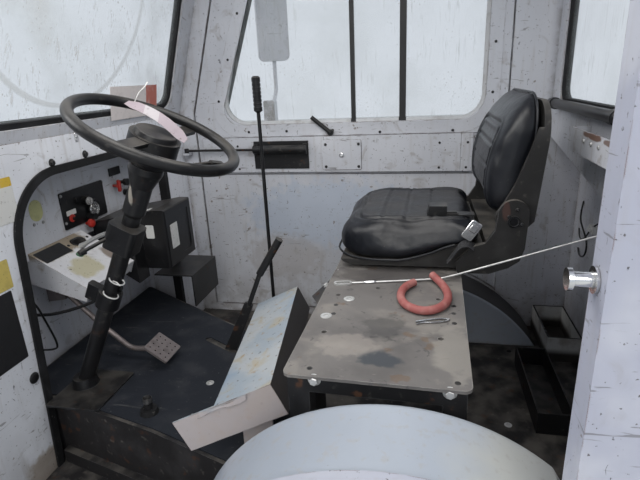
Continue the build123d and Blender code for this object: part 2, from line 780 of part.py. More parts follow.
CAP_RADIUS = 50
CAP_HEIGHT = 11
with BuildPart() as horn_cap:
    with BuildSketch(column_plane.offset(HUB_TOP + SEAT_GAP)):
        Circle(CAP_RADIUS)
    extrude(amount=CAP_HEIGHT, taper=20)
    fillet(edges().filter_by(GeomType.CIRCLE).sort_by(SortBy.LENGTH)[0], 4)

# Dash panel, instrument plate with its dial and knobs, and console
DASH_FACE = -820
DASH_SHEET = 4
DASH_FOOT = 600
cowl_under = NOSE_TOP - NOSE_WALL + (DASH_FACE - DASH_SHEET - front_end) * NOSE_DROP / (front_end - NOSE_X)
dash_length = NOSE_RIGHT - NOSE_LEFT - 2 * SEAT_GAP
with BuildPart() as dash_panel:
    with BuildSketch(across(NOSE_RIGHT - SEAT_GAP)):
        add(
            polygon(
                (DASH_FACE, DASH_FOOT),
                (NOSE_X + SEAT_GAP, DASH_FOOT),
                (NOSE_X + SEAT_GAP, DASH_FOOT + DASH_SHEET),
                (DASH_FACE - DASH_SHEET, DASH_FOOT + DASH_SHEET),
                (DASH_FACE - DASH_SHEET, cowl_under - 1),
                (DASH_FACE, cowl_under - 1),
            )
        )
    extrude(amount=dash_length)

PLATE_LEFT = 52
PLATE_RIGHT = 266
PLATE_FOOT = 640
PLATE_TOP = 757
PLATE_THICK = 4
# Columns: y, z, radius, length of each dial or knob on the instrument plate
plate_knobs = [
    (199, 676, 29, 8),
    (158, 711, 15, 24),
    (162, 656, 11, 30),
    (93, 668, 6, 9),
    (120, 722, 7, 7),
]
# The same for the knobs on the bare dash beside it
dash_knobs = [
    (362, 729, 13, 26),
    (408, 684, 17, 20),
]
DASH_TAG = (347, 772)
with BuildPart() as dash_instruments:
    with BuildSketch(Plane.YZ.offset(DASH_FACE + SEAT_GAP)):
        with Locations(((PLATE_LEFT + PLATE_RIGHT) / 2, (PLATE_FOOT + PLATE_TOP) / 2)):
            RectangleRounded(PLATE_RIGHT - PLATE_LEFT, PLATE_TOP - PLATE_FOOT, 5)
        with Locations(DASH_TAG):
            Rectangle(64, 28)
    extrude(amount=PLATE_THICK)
    for y, z, radius, length in plate_knobs:
        with BuildSketch(Plane.YZ.offset(DASH_FACE + SEAT_GAP + PLATE_THICK)):
            with Locations((y, z)):
                Circle(radius)
        extrude(amount=length)
    for y, z, radius, length in dash_knobs:
        with BuildSketch(Plane.YZ.offset(DASH_FACE + SEAT_GAP)):
            with Locations((y, z)):
                Circle(radius / 2)
        extrude(amount=length)
        with BuildSketch(Plane.YZ.offset(DASH_FACE + length)):
            with Locations((y, z)):
                Circle(radius)
        extrude(amount=length / 2)

CONSOLE_LEFT = -110
CONSOLE_RIGHT = 120
CONSOLE_SHEET = 4
CONSOLE_TOP_REAR = (-645, 520)
CONSOLE_FOOT_REAR = (-662, 480)
CONSOLE_TOP_FRONT = 621
CONSOLE_FOOT_FRONT = 531
with BuildPart() as console:
    with BuildSketch(across(CONSOLE_RIGHT)):
        add(
            polygon(
                (NOSE_X + SEAT_GAP, CONSOLE_FOOT_FRONT),
                (NOSE_X + SEAT_GAP, DASH_FOOT - SEAT_GAP),
                (DASH_FACE + SEAT_GAP, DASH_FOOT - SEAT_GAP),
                (DASH_FACE + SEAT_GAP, CONSOLE_TOP_FRONT),
                CONSOLE_TOP_REAR,
                CONSOLE_FOOT_REAR,
            )
        )
    extrude(amount=CONSOLE_RIGHT - CONSOLE_LEFT)
    with BuildSketch(across(CONSOLE_RIGHT - CONSOLE_SHEET)):
        add(
            polygon(
                (DASH_FACE + SEAT_GAP, CONSOLE_FOOT_FRONT - 9 * CONSOLE_SHEET),
                (DASH_FACE + SEAT_GAP, CONSOLE_TOP_FRONT - 1.3 * CONSOLE_SHEET),
                (CONSOLE_TOP_REAR[0] - 2 * CONSOLE_SHEET, CONSOLE_TOP_REAR[1] - 0.2 * CONSOLE_SHEET),
                (CONSOLE_FOOT_REAR[0] - 1.5 * CONSOLE_SHEET, CONSOLE_FOOT_REAR[1] - 9 * CONSOLE_SHEET),
            )
        )
    extrude(amount=CONSOLE_RIGHT - CONSOLE_LEFT - 2 * CONSOLE_SHEET, mode=Mode.SUBTRACT)

# Heater box under the dash, and the folded bracket beside it
HEATER_REAR = -550
HEATER_LEFT = 180
HEATER_RIGHT = 370
HEATER_FOOT = 470
HEATER_TOP = 672
HEATER_EDGE = 8
RELAY_REAR = -640
RELAY_LEFT = 122
RELAY_FOOT = 438
RELAY_TOP = 590
with BuildPart() as heater_box:
    with BuildSketch(across(HEATER_RIGHT)):
        add(
            polygon(
                (DASH_FACE + SEAT_GAP, HEATER_FOOT + 40),
                (DASH_FACE + SEAT_GAP, PLATE_FOOT - 10),
                (HEATER_REAR - 40, HEATER_TOP),
                (HEATER_REAR, HEATER_TOP),
                (HEATER_REAR, HEATER_FOOT),
                (HEATER_REAR - 130, HEATER_FOOT),
            )
        )
    extrude(amount=HEATER_RIGHT - HEATER_LEFT)
    fillet(edges().group_by(Axis.X)[-1], HEATER_EDGE)
    with BuildSketch(Plane.YZ.offset(HEATER_REAR)):
        with Locations(((HEATER_LEFT + HEATER_RIGHT) / 2 + 36, (HEATER_FOOT + HEATER_TOP) / 2)):
            RectangleRounded(66, 150, 8)
    extrude(amount=-3, mode=Mode.SUBTRACT)
    # Relay box on the heater's left cheek
    with BuildSketch(across(HEATER_LEFT + HEATER_EDGE)):
        add(
            polygon(
                (RELAY_REAR, RELAY_FOOT),
                (RELAY_REAR, RELAY_TOP - 24),
                (RELAY_REAR - 16, RELAY_TOP),
                (RELAY_REAR - 110, RELAY_TOP),
                (RELAY_REAR - 110, RELAY_FOOT + 70),
            )
        )
    extrude(amount=HEATER_LEFT + HEATER_EDGE - RELAY_LEFT)

BRACKET_LEFT = 313
BRACKET_RIGHT = 523
BRACKET_FOOT = MAT_Z + 4
BRACKET_TOP = 389
BRACKET_SHEET = 5
with BuildPart() as heater_bracket:
    trim_face = FRONT_X + TRIM_PROUD + SEAT_GAP
    with BuildSketch(across(BRACKET_RIGHT)):
        add(
            polygon(
                (trim_face, BRACKET_TOP),
                (HEATER_REAR, BRACKET_TOP),
                (HEATER_REAR, BRACKET_FOOT),
                (HEATER_REAR - BRACKET_SHEET, BRACKET_FOOT),
                (HEATER_REAR - BRACKET_SHEET, BRACKET_TOP - BRACKET_SHEET),
                (trim_face, BRACKET_TOP - BRACKET_SHEET),
            )
        )
    extrude(amount=BRACKET_RIGHT - BRACKET_LEFT)
    with BuildSketch(across(BRACKET_RIGHT)):
        add(
            polygon(
                (FRONT_X + SEAT_GAP, BRACKET_TOP),
                (HEATER_REAR, BRACKET_TOP),
                (HEATER_REAR, BRACKET_FOOT),
                (FRONT_X + SEAT_GAP, BRACKET_FOOT + 60),
            )
        )
    extrude(amount=BRACKET_RIGHT - OPENING_RIGHT - TRIM_OUT - 2 * SEAT_GAP)

# Brake pedal: perforated pad on a bent arm, hung from the nose's front wall
PEDAL_AT = (-487, -50, 307)
PEDAL_SLOPE = 35
PEDAL_LENGTH = 80
PEDAL_WIDTH = 90
PEDAL_THICK = 7
PEDAL_ARM = 8
pedal_tilt = radians(PEDAL_SLOPE)
pedal_plane = Plane(
    origin=PEDAL_AT,
    x_dir=(cos(pedal_tilt), 0, -sin(pedal_tilt)),
    z_dir=(sin(pedal_tilt), 0, cos(pedal_tilt)),
)
PEDAL_ROUTE = [(-490, -46, 304), (-596, -42, 294), (-700, -32, 372), (-800, -28, 470)]
with BuildPart() as brake_pedal:
    with BuildSketch(pedal_plane):
        RectangleRounded(PEDAL_LENGTH, PEDAL_WIDTH, 5)
        with GridLocations(18, 20, 4, 4):
            Circle(2.5, mode=Mode.SUBTRACT)
    extrude(amount=PEDAL_THICK)
    with BuildLine() as pedal_route:
        FilletPolyline(*PEDAL_ROUTE, radius=60)
    with BuildSketch(Plane(origin=PEDAL_ROUTE[0], z_dir=pedal_route.line % 0)):
        Circle(PEDAL_ARM)
    sweep(path=pedal_route.line)
    with BuildSketch(across(PEDAL_ROUTE[-1][1] + 22)):
        add(
            polygon(
                (NOSE_X + SEAT_GAP, PEDAL_ROUTE[-1][2] - 26),
                (PEDAL_ROUTE[-1][0] + 16, PEDAL_ROUTE[-1][2] - 16),
                (PEDAL_ROUTE[-1][0] + 16, PEDAL_ROUTE[-1][2] + 16),
                (NOSE_X + SEAT_GAP, PEDAL_ROUTE[-1][2] + 26),
            )
        )
    extrude(amount=44)

# Gear lever with a ribbed grip, standing on the floor pan
GEAR_X = -250
GEAR_Y = 330
GEAR_TOP = 1072
GRIP_LENGTH = 112
GRIP_RADIUS = 14
SHAFT_GEAR = 6
BOOT_HEIGHT = 90
BOOT_RADIUS = 42
GRIP_RIBS = 7
with BuildPart() as gear_lever:
    with BuildSketch(Plane.XZ.offset(-GEAR_Y)):
        grip_foot = GEAR_TOP - GRIP_LENGTH
        add(
            polygon(
                (GEAR_X, FLOOR_Z + SEAT_GAP),
                (GEAR_X + BOOT_RADIUS, FLOOR_Z + SEAT_GAP),
                (GEAR_X + BOOT_RADIUS, FLOOR_Z + 10),
                (GEAR_X + 2 * SHAFT_GEAR, FLOOR_Z + BOOT_HEIGHT),
                (GEAR_X + SHAFT_GEAR, FLOOR_Z + BOOT_HEIGHT),
                (GEAR_X + SHAFT_GEAR, grip_foot),
                (GEAR_X + GRIP_RADIUS, grip_foot + 6),
                (GEAR_X + GRIP_RADIUS, GEAR_TOP - 5),
                (GEAR_X + GRIP_RADIUS - 5, GEAR_TOP),
                (GEAR_X, GEAR_TOP),
            )
        )
        for rib in range(GRIP_RIBS):
            with Locations((GEAR_X + GRIP_RADIUS, grip_foot + 20 + rib * 12)):
                Rectangle(4, 4, mode=Mode.SUBTRACT)
    revolve(axis=Axis((GEAR_X, GEAR_Y, 0), (0, 0, 1)))

# Hand brake: flat blade, bent rod and a round grip
BRAKE_Y = 50
BRAKE_THICK = 10
BRAKE_BEND = (-236, 414)
BRAKE_GRIP = (-193, 518)
BRAKE_TIP = (-124, 628)
BRAKE_ROD = 7
BRAKE_HOLD = 11
with BuildPart() as hand_brake:
    with BuildSketch(across(BRAKE_Y + BRAKE_THICK / 2)):
        add(
            polygon(
                (-329, MAT_Z + SEAT_GAP),
                (-289, MAT_Z + SEAT_GAP),
                (BRAKE_BEND[0] + 13, BRAKE_BEND[1]),
                (BRAKE_BEND[0] + 4, BRAKE_BEND[1] + 12),
                (BRAKE_BEND[0] - 12, BRAKE_BEND[1] + 10),
            )
        )
    extrude(amount=BRAKE_THICK)
    for start, end, radius in ((BRAKE_BEND, BRAKE_GRIP, BRAKE_ROD), (BRAKE_GRIP, BRAKE_TIP, BRAKE_HOLD)):
        run = Vector(end[0] - start[0], 0, end[1] - start[1])
        with BuildSketch(Plane(origin=(start[0], BRAKE_Y, start[1]), z_dir=run)):
            Circle(radius)
        extrude(amount=run.length)

# Deck: welded frame on four legs under a flat plate, turned a little in plan
deck_length = DECK_REAR - DECK_FRONT
deck_width = DECK_RIGHT - DECK_LEFT
deck_turn = radians(DECK_YAW)
deck_centre = (
    DECK_FRONT + deck_length / 2 * cos(deck_turn) - deck_width / 2 * sin(deck_turn),
    DECK_LEFT + deck_length / 2 * sin(deck_turn) + deck_width / 2 * cos(deck_turn),
)
deck_place = Location((*deck_centre, 0), (0, 0, DECK_YAW))
BRACE_SLOPE = 35
# Columns: y, distance down the slope
brace_plan = [(12, 0), (-58, 78), (-161, 31), (-161, 0)]
with BuildPart() as deck_frame:
    deck_under = DECK_Z - DECK_PLATE
    with BuildSketch(Plane.XY.offset(deck_under - DECK_RAIL)):
        with Locations(deck_place):
            Rectangle(deck_length - 2 * DECK_LIP, deck_width - 2 * DECK_LIP)
            Rectangle(
                deck_length - 2 * DECK_LIP - 2 * LEG,
                deck_width - 2 * DECK_LIP - 2 * LEG,
                mode=Mode.SUBTRACT,
            )
    extrude(amount=DECK_RAIL)
    with BuildSketch(Plane.XY.offset(FLOOR_Z)):
        with Locations(deck_place):
            with GridLocations(deck_length - 2 * DECK_LIP - LEG, deck_width - 2 * DECK_LIP - LEG, 2, 2):
                Rectangle(LEG, LEG)
    extrude(amount=deck_under - DECK_RAIL - FLOOR_Z)
    # Sloping brace along the left edge, below the seat
    brace_tilt = radians(BRACE_SLOPE)
    brace_plane = Plane(
        origin=(DECK_FRONT + DECK_LIP + 14, 0, deck_under - 2),
        x_dir=(0, 1, 0),
        z_dir=(-sin(brace_tilt), 0, cos(brace_tilt)),
    )
    with BuildSketch(brace_plane):
        add(polygon(*brace_plan))
    extrude(amount=-4)

with BuildPart() as deck_plate:
    with BuildSketch(Plane.XY.offset(DECK_Z - DECK_PLATE)):
        with Locations(deck_place):
            RectangleRounded(deck_length, deck_width, 16)
        with Locations(SEAT_BOLT_CENTRE):
            with GridLocations(SEAT_BOLT_X, SEAT_BOLT_Y, 2, 2):
                Circle(SEAT_BOLT_RADIUS, mode=Mode.SUBTRACT)
    extrude(amount=DECK_PLATE)

# Heel box: folded cover, open below, with a wide near end and two ribs that stand on the mat
HEEL_CORNER = (-26, -400, 468)
HEEL_SLOPE = 24.2
HEEL_YAW = 7.4
HEEL_WIDTH = 138
HEEL_END_WIDTH = 243
HEEL_DEPTH = 80
HEEL_LENGTH = 490
HEEL_SHEET = 4
HEEL_RIB = 6
HEEL_RIB_SPAN = (-96, -18)
heel_tilt = radians(HEEL_SLOPE)
heel_turn = radians(HEEL_YAW)
heel_plane = Plane(
    origin=HEEL_CORNER,
    x_dir=(cos(heel_turn) * cos(heel_tilt), sin(heel_turn) * cos(heel_tilt), sin(heel_tilt)),
    z_dir=(sin(heel_turn), -cos(heel_turn), 0),
)


def under_heel(x):
    """Point on the mat straight below a point of the heel box's top sheet, in the box's plane."""
    drop = HEEL_CORNER[2] + x * sin(heel_tilt) - HEEL_SHEET / 2 * cos(heel_tilt) - MAT_Z - SEAT_GAP
    return x - drop * sin(heel_tilt), -HEEL_SHEET / 2 - drop * cos(heel_tilt)


with BuildPart() as heel_box:
    with BuildSketch(heel_plane):
        add(polygon((0, 0), (-HEEL_WIDTH, 0), (-HEEL_WIDTH, -HEEL_DEPTH), (0, -HEEL_DEPTH)))
    extrude(amount=-HEEL_LENGTH)
    with BuildSketch(heel_plane.offset(-HEEL_SHEET)):
        add(
            polygon(
                (-HEEL_SHEET, -HEEL_SHEET),
                (HEEL_SHEET - HEEL_WIDTH, -HEEL_SHEET),
                (HEEL_SHEET - HEEL_WIDTH, -HEEL_DEPTH),
                (-HEEL_SHEET, -HEEL_DEPTH),
            )
        )
    extrude(amount=2 * HEEL_SHEET - HEEL_LENGTH, mode=Mode.SUBTRACT)
    with BuildSketch(heel_plane):
        add(polygon((0, 0), (-HEEL_END_WIDTH, 0), (-HEEL_END_WIDTH, -HEEL_DEPTH), (0, -HEEL_DEPTH)))
    extrude(amount=-HEEL_SHEET)
    for rib_at in (60, 430):
        rib_low, rib_high = HEEL_RIB_SPAN
        with BuildSketch(heel_plane.offset(-rib_at)):
            add(
                polygon(
                    (rib_low, -HEEL_SHEET / 2),
                    (rib_high, -HEEL_SHEET / 2),
                    under_heel(rib_high),
                    under_heel(rib_low),
                )
            )
        extrude(amount=-HEEL_RIB)

# Open trays on the floor: a loose one behind the deck, and a painted one in the locker's corner
def open_tray(x_low, x_high, y_low, y_high, height, wall):
    tray_centre = ((x_low + x_high) / 2, (y_low + y_high) / 2)
    with BuildPart() as tray:
        with BuildSketch(Plane.XY.offset(FLOOR_Z + SEAT_GAP)):
            with Locations(tray_centre):
                Rectangle(x_high - x_low, y_high - y_low)
        extrude(amount=height)
        with BuildSketch(Plane.XY.offset(FLOOR_Z + SEAT_GAP + wall)):
            with Locations(tray_centre):
                Rectangle(x_high - x_low - 2 * wall, y_high - y_low - 2 * wall)
        extrude(amount=height, mode=Mode.SUBTRACT)
    return tray


floor_tray = open_tray(605, 703, 35, 395, 70, 4)
corner_tray = open_tray(714, LOCKER_X - 1, 430, HALF_INSIDE - 1, 94, 6)

# Seat: slide rails and moulded pan, side covers, cushion, back and belt
PAN_HALF = 245
PAN_FRONT_HALF = 222
PAN_FOOT = 572
PAN_TOP = 588
PAN_REAR_TOP = 640
COVER_THICK = 14
RAIL_HEIGHT = PAN_FOOT - DECK_Z - SEAT_GAP
# Columns: x, z, in order round a side cover
cover_outline = [
    (452, 736),
    (447, 686),
    (425, 652),
    (396, 643),
    (356, 602),
    (362, PAN_FOOT),
    (438, PAN_FOOT),
    (483, 589),
    (508, 608),
    (518, 640),
    (522, 734),
]
# Columns: x, height above the pan's front edge, along the line where the cushion sits on it
pan_line = [(56, 0), (224, 0), (290, 20), (345, 46), (425, 50)]
with BuildPart() as seat_base:
    with BuildSketch(across(SEAT_CENTRE + PAN_FRONT_HALF)):
        add(
            polygon(
                *[(x, PAN_TOP + rise) for x, rise in pan_line],
                (430, PAN_FOOT),
                (84, PAN_FOOT),
                (62, PAN_TOP - 8),
            )
        )
    extrude(amount=2 * PAN_FRONT_HALF)
    with BuildSketch(across(SEAT_CENTRE + PAN_HALF)):
        add(
            polygon(
                (400, PAN_FOOT + 30),
                (400, PAN_FOOT),
                (440, PAN_FOOT),
                (490, PAN_FOOT + 22),
                (512, PAN_REAR_TOP - 18),
                (506, PAN_REAR_TOP),
                (434, PAN_REAR_TOP),
                (430, PAN_FOOT + 34),
            )
        )
    extrude(amount=2 * PAN_HALF)
    for rail_y in (SEAT_CENTRE - 140, SEAT_CENTRE + 140):
        with BuildSketch(Plane.XY.offset(DECK_Z + SEAT_GAP)):
            with Locations((200, rail_y)):
                Rectangle(290, 36)
        extrude(amount=RAIL_HEIGHT)
    for cover_y in (SEAT_CENTRE - PAN_HALF, SEAT_CENTRE + PAN_HALF + COVER_THICK):
        with BuildSketch(across(cover_y)):
            add(polygon(*cover_outline))
            with Locations((RECLINER_X, RECLINER_Z + 14)):
                Circle(36)
        extrude(amount=COVER_THICK)

CUSHION_TOP = 692
CUSHION_CORNER = 120
CUSHION_FRONT = 34
CUSHION_REAR = 425
cushion_nose = (CUSHION_FRONT, 632)
cushion_shoulder = (60, CUSHION_TOP - 18)
cushion_crest = (150, CUSHION_TOP)
with BuildPart() as seat_cushion:
    with BuildSketch(across(SEAT_CENTRE + SEAT_WIDTH / 2)):
        with BuildLine():
            Polyline(*[(x, PAN_TOP + rise + SEAT_GAP) for x, rise in reversed(pan_line)])
            ThreePointArc((pan_line[0][0], PAN_TOP + SEAT_GAP), cushion_nose, cushion_shoulder)
            Spline(cushion_shoulder, cushion_crest, tangents=((1, 0.5), (1, 0)))
            cushion_rear_foot = (CUSHION_REAR, PAN_TOP + pan_line[-1][1] + SEAT_GAP)
            Polyline(cushion_crest, (CUSHION_REAR, CUSHION_TOP), cushion_rear_foot)
        make_face()
    extrude(amount=SEAT_WIDTH)
    # Round front corners in plan
    with BuildSketch(Plane.XY.offset(PAN_TOP)):
        with Locations(((CUSHION_FRONT + CUSHION_REAR) / 2 + CUSHION_CORNER / 2, SEAT_CENTRE)):
            RectangleRounded(CUSHION_REAR - CUSHION_FRONT + CUSHION_CORNER, SEAT_WIDTH, CUSHION_CORNER)
    extrude(amount=CUSHION_TOP - PAN_TOP + SEAT_GAP, mode=Mode.INTERSECT)

BACK_SIDE = 228
BACK_TOP = 1006
BACK_HEIGHT = 420
BACK_CORNER = 100
BACK_FRONT = 400
BACK_DEPTH = 200
SHELL_SIDE = 244.6
SHELL_THICK = 14
back_rear_line = [(523, 706), (530, 784), (540, 903), (545, 985)]
with BuildPart() as seat_back:
    with BuildSketch(across(SEAT_CENTRE + BACK_SIDE)):
        add(
            polygon(
                (434, 708),
                (421, 760),
                (424, 820),
                (447, 895),
                (474, 950),
                (500, 990),
                (520, 1006),
                (538, 1003),
                *[(x - SEAT_GAP, z) for x, z in reversed(back_rear_line)],
            )
        )
    extrude(amount=2 * BACK_SIDE)
    with BuildSketch(Plane.YZ.offset(BACK_FRONT)):
        with Locations((SEAT_CENTRE, BACK_TOP - BACK_HEIGHT / 2)):
            RectangleRounded(2 * BACK_SIDE, BACK_HEIGHT, BACK_CORNER)
    extrude(amount=BACK_DEPTH, mode=Mode.INTERSECT)

ARM_THICK = 10
SHELL_TOP = 985
SHELL_HEIGHT = 520
# Columns: x, z, in order round an arm of the shell
arm_outline = [
    (450, 722),
    (505, 672),
    (537, 706),
    (544, 784),
    (554, 903),
    (559, 985),
    (546, 985),
    (530, 930),
    (512, 870),
    (488, 800),
]
with BuildPart() as seat_shell:
    with BuildSketch(across(SEAT_CENTRE + SHELL_SIDE)):
        add(polygon(*back_rear_line, *[(x + SHELL_THICK, z) for x, z in reversed(back_rear_line)]))
    extrude(amount=2 * SHELL_SIDE)
    for arm_y in (SEAT_CENTRE - SHELL_SIDE + ARM_THICK, SEAT_CENTRE + SHELL_SIDE):
        with BuildSketch(across(arm_y)):
            with Locations((RECLINER_X, RECLINER_Z)):
                Circle(40)
            add(polygon(*arm_outline))
        extrude(amount=ARM_THICK)
    with BuildSketch(Plane.YZ.offset(BACK_FRONT)):
        with Locations((SEAT_CENTRE, SHELL_TOP - SHELL_HEIGHT / 2)):
            RectangleRounded(2 * SHELL_SIDE, SHELL_HEIGHT, BACK_CORNER)
    extrude(amount=BACK_DEPTH, mode=Mode.INTERSECT)

BELT_Y = 104
belt_foot = CUSHION_TOP + SEAT_GAP
with BuildPart() as seat_belt:
    with BuildSketch(across(BELT_Y + 24)):
        add(polygon((284, belt_foot), (336, belt_foot), (336, belt_foot + 28), (290, belt_foot + 28)))
    extrude(amount=48)
    with BuildSketch(across(BELT_Y + 18)):
        add(polygon((336, belt_foot), (408, belt_foot), (408, belt_foot + 3), (336, belt_foot + 3)))
    extrude(amount=36)

# Release cable: wire eye on the deck, taut line to the locker's back wall, and the hose grip
CABLE_RADIUS = 2.5
cable_z = DECK_Z + SEAT_GAP + CABLE_RADIUS
CABLE_ROUTE = [
    (124, -82, cable_z),
    (300, -47, cable_z),
    (350, -45.5, cable_z + 10.5),
    (LOCKER_X - CABLE_RADIUS, -50, 745),
]


def route_radii(route):
    """One radius per corner: 0.45 of the shorter run over the tangent of half the turn."""
    radii = []
    for before, corner, after in zip(route, route[1:], route[2:]):
        run_in = Vector(*corner) - Vector(*before)
        run_out = Vector(*after) - Vector(*corner)
        half_turn = radians(run_in.get_angle(run_out)) / 2
        radii.append(0.45 * min(run_in.length, run_out.length) / tan(half_turn))
    return radii


with BuildPart() as pull_cable:
    cable_radii = route_radii(CABLE_ROUTE)
    print("pull_cable radii", [round(radius) for radius in cable_radii])
    with BuildLine() as cable_line:
        FilletPolyline(*CABLE_ROUTE, radius=cable_radii)
    with BuildSketch(Plane(origin=CABLE_ROUTE[0], z_dir=cable_line.line % 0)):
        Circle(CABLE_RADIUS)
    sweep(path=cable_line.line)

EYE_LENGTH = 46
EYE_WIDTH = 20
FERRULE = 26
with BuildPart() as cable_eye:
    eye_run = Vector(176, 35, 0).normalized()
    ferrule_end = Vector(*CABLE_ROUTE[0])
    ferrule_start = ferrule_end - eye_run * FERRULE
    with BuildSketch(Plane(origin=ferrule_start, z_dir=eye_run)):
        Circle(CABLE_RADIUS)
    extrude(amount=FERRULE)
    ring_centre = ferrule_start - eye_run * (EYE_LENGTH / 2 - 3)
    ring_foot = (ring_centre.X, ring_centre.Y, DECK_Z + SEAT_GAP)
    with BuildSketch(Plane(origin=ring_foot, x_dir=eye_run, z_dir=(0, 0, 1))):
        SlotOverall(EYE_LENGTH, EYE_WIDTH)
        SlotOverall(EYE_LENGTH - 8, EYE_WIDTH - 8, mode=Mode.SUBTRACT)
    extrude(amount=2 * CABLE_RADIUS)

GRIP_TUBE = 9.5
grip_z = DECK_Z + SEAT_GAP + GRIP_TUBE
# Columns: x, y, height above the lying part, along the loop of hose
grip_route = [
    (256, -84, 0),
    (234, -118, 0),
    (227, -168, 0),
    (245, -217, 0),
    (280, -236, 0),
    (315, -215, 0),
    (333, -165, 0),
    (325, -104, 2),
    (299, -54, 9),
]
with BuildPart() as hose_grip:
    with BuildLine() as grip_line:
        Spline(*[(x, y, grip_z + rise) for x, y, rise in grip_route])
    with BuildSketch(Plane(origin=grip_line.line @ 0, z_dir=grip_line.line % 0)):
        Circle(GRIP_TUBE)
    sweep(path=grip_line.line)

# Doors, drawn shut on the right side; the left one is mirrored and swung open
BELT_FOOT = 700
BELT_TOP = 840
BELT_PROUD = 12
BELT_FRONT = -620
BELT_REAR_GAP = 117
BELT_SEAM_GAP = 160
LOCK_FRONT = -120
LOCK_REAR = 35
LOCK_FOOT = 709
LOCK_TOP = 825
LOCK_SHEET = 3
LOCK_BARREL = 9


def window_face(side, inset):
    """Door window outline with a raked front edge and round corners."""
    front = DOOR_FRONT + WINDOW_FRONT + inset
    rear = DOOR_REAR[side] - WINDOW_REAR - inset
    foot = WINDOW_SILL + inset
    head = WINDOW_HEAD - inset
    with BuildSketch(mode=Mode.PRIVATE) as window:
        add(polygon((rake_x(front, foot), foot), (rake_x(front, head), head), (rear, head), (rear, foot)))
        fillet(window.vertices(), WINDOW_RADIUS - inset)
    return window.sketch_local


def door_panel(side):
    rear_x = DOOR_REAR[side]
    door_skin = DOOR_INNER + DOOR_THICK
    with BuildPart() as panel:
        with BuildSketch(across(door_skin)):
            add(door_face(side, DOOR_GAP))
            add(window_face(side, 0), mode=Mode.SUBTRACT)
        extrude(amount=DOOR_THICK)
        # Belt cover with its seam, and the screwed lock plate on it
        with BuildSketch(across(DOOR_INNER)):
            for x_low, x_high in (
                (BELT_FRONT, rear_x - BELT_SEAM_GAP),
                (rear_x - BELT_SEAM_GAP + 1, rear_x - BELT_REAR_GAP),
            ):
                with Locations(((x_low + x_high) / 2, (BELT_FOOT + BELT_TOP) / 2)):
                    Rectangle(x_high - x_low, BELT_TOP - BELT_FOOT)
        extrude(amount=BELT_PROUD)
        with BuildSketch(across(DOOR_INNER - BELT_PROUD)):
            with Locations(((LOCK_FRONT + LOCK_REAR) / 2, (LOCK_FOOT + LOCK_TOP) / 2)):
                RectangleRounded(LOCK_REAR - LOCK_FRONT, LOCK_TOP - LOCK_FOOT, 6)
        extrude(amount=LOCK_SHEET)
        with BuildSketch(across(DOOR_INNER - BELT_PROUD - LOCK_SHEET)):
            with Locations(((LOCK_FRONT + LOCK_REAR) / 2, (LOCK_FOOT + LOCK_TOP) / 2)):
                Circle(LOCK_BARREL)
        extrude(amount=LOCK_SHEET)
        # Pocket that takes the striker as the door shuts
        with BuildSketch(across(STRIKER_Y + 2.4 * STRIKER_RADIUS)):
            with Locations((rear_x - DOOR_GAP - STRIKER_LENGTH / 2, STRIKER_Z)):
                Rectangle(STRIKER_LENGTH + 12, 5 * STRIKER_RADIUS)
        extrude(amount=5 * STRIKER_RADIUS, mode=Mode.SUBTRACT)
        # Hinge knuckles between the pillar's ears
        for height in HINGE_HEIGHTS:
            with BuildSketch(Plane.XY.offset(height - HINGE_KNUCKLE / 2 + HINGE_GAP)):
                add(hinge_ear(1, door_skin))
            extrude(amount=HINGE_KNUCKLE - 2 * HINGE_GAP)
    return panel


# Uprights of the sliding panes. Columns: distance ahead of the door opening's rear edge, width
sash_bars = [(562, 16), (376, 24)]


def door_sash(side):
    middle = DOOR_INNER + DOOR_THICK / 2
    with BuildPart() as sash:
        with BuildSketch(across(middle + SASH_THICK / 2)):
            add(window_face(side, SEAT_GAP))
            add(window_face(side, SASH_WIDTH), mode=Mode.SUBTRACT)
            for bar_ahead, bar_width in sash_bars:
                with Locations((DOOR_REAR[side] - bar_ahead, (WINDOW_SILL + WINDOW_HEAD) / 2)):
                    Rectangle(bar_width, WINDOW_HEAD - WINDOW_SILL - SASH_WIDTH)
        extrude(amount=SASH_THICK)
    return sash


def door_glass(side):
    middle = DOOR_INNER + DOOR_THICK / 2
    with BuildPart() as glass:
        with BuildSketch(across(middle + GLASS_THICK / 2)):
            add(window_face(side, SASH_WIDTH))
            for bar_ahead, bar_width in sash_bars:
                with Locations((DOOR_REAR[side] - bar_ahead, (WINDOW_SILL + WINDOW_HEAD) / 2)):
                    Rectangle(bar_width, WINDOW_HEAD - WINDOW_SILL, mode=Mode.SUBTRACT)
        extrude(amount=GLASS_THICK)
    return glass


CHECK_CYLINDER = 16
CHECK_ROD = 5
CHECK_FRONT = -400
CHECK_REAR = -174
HANDLE_START = (-84, BELT_TOP + 14)
HANDLE_END = (-156, BELT_TOP + 74)
HANDLE_Y = DOOR_INNER - 14


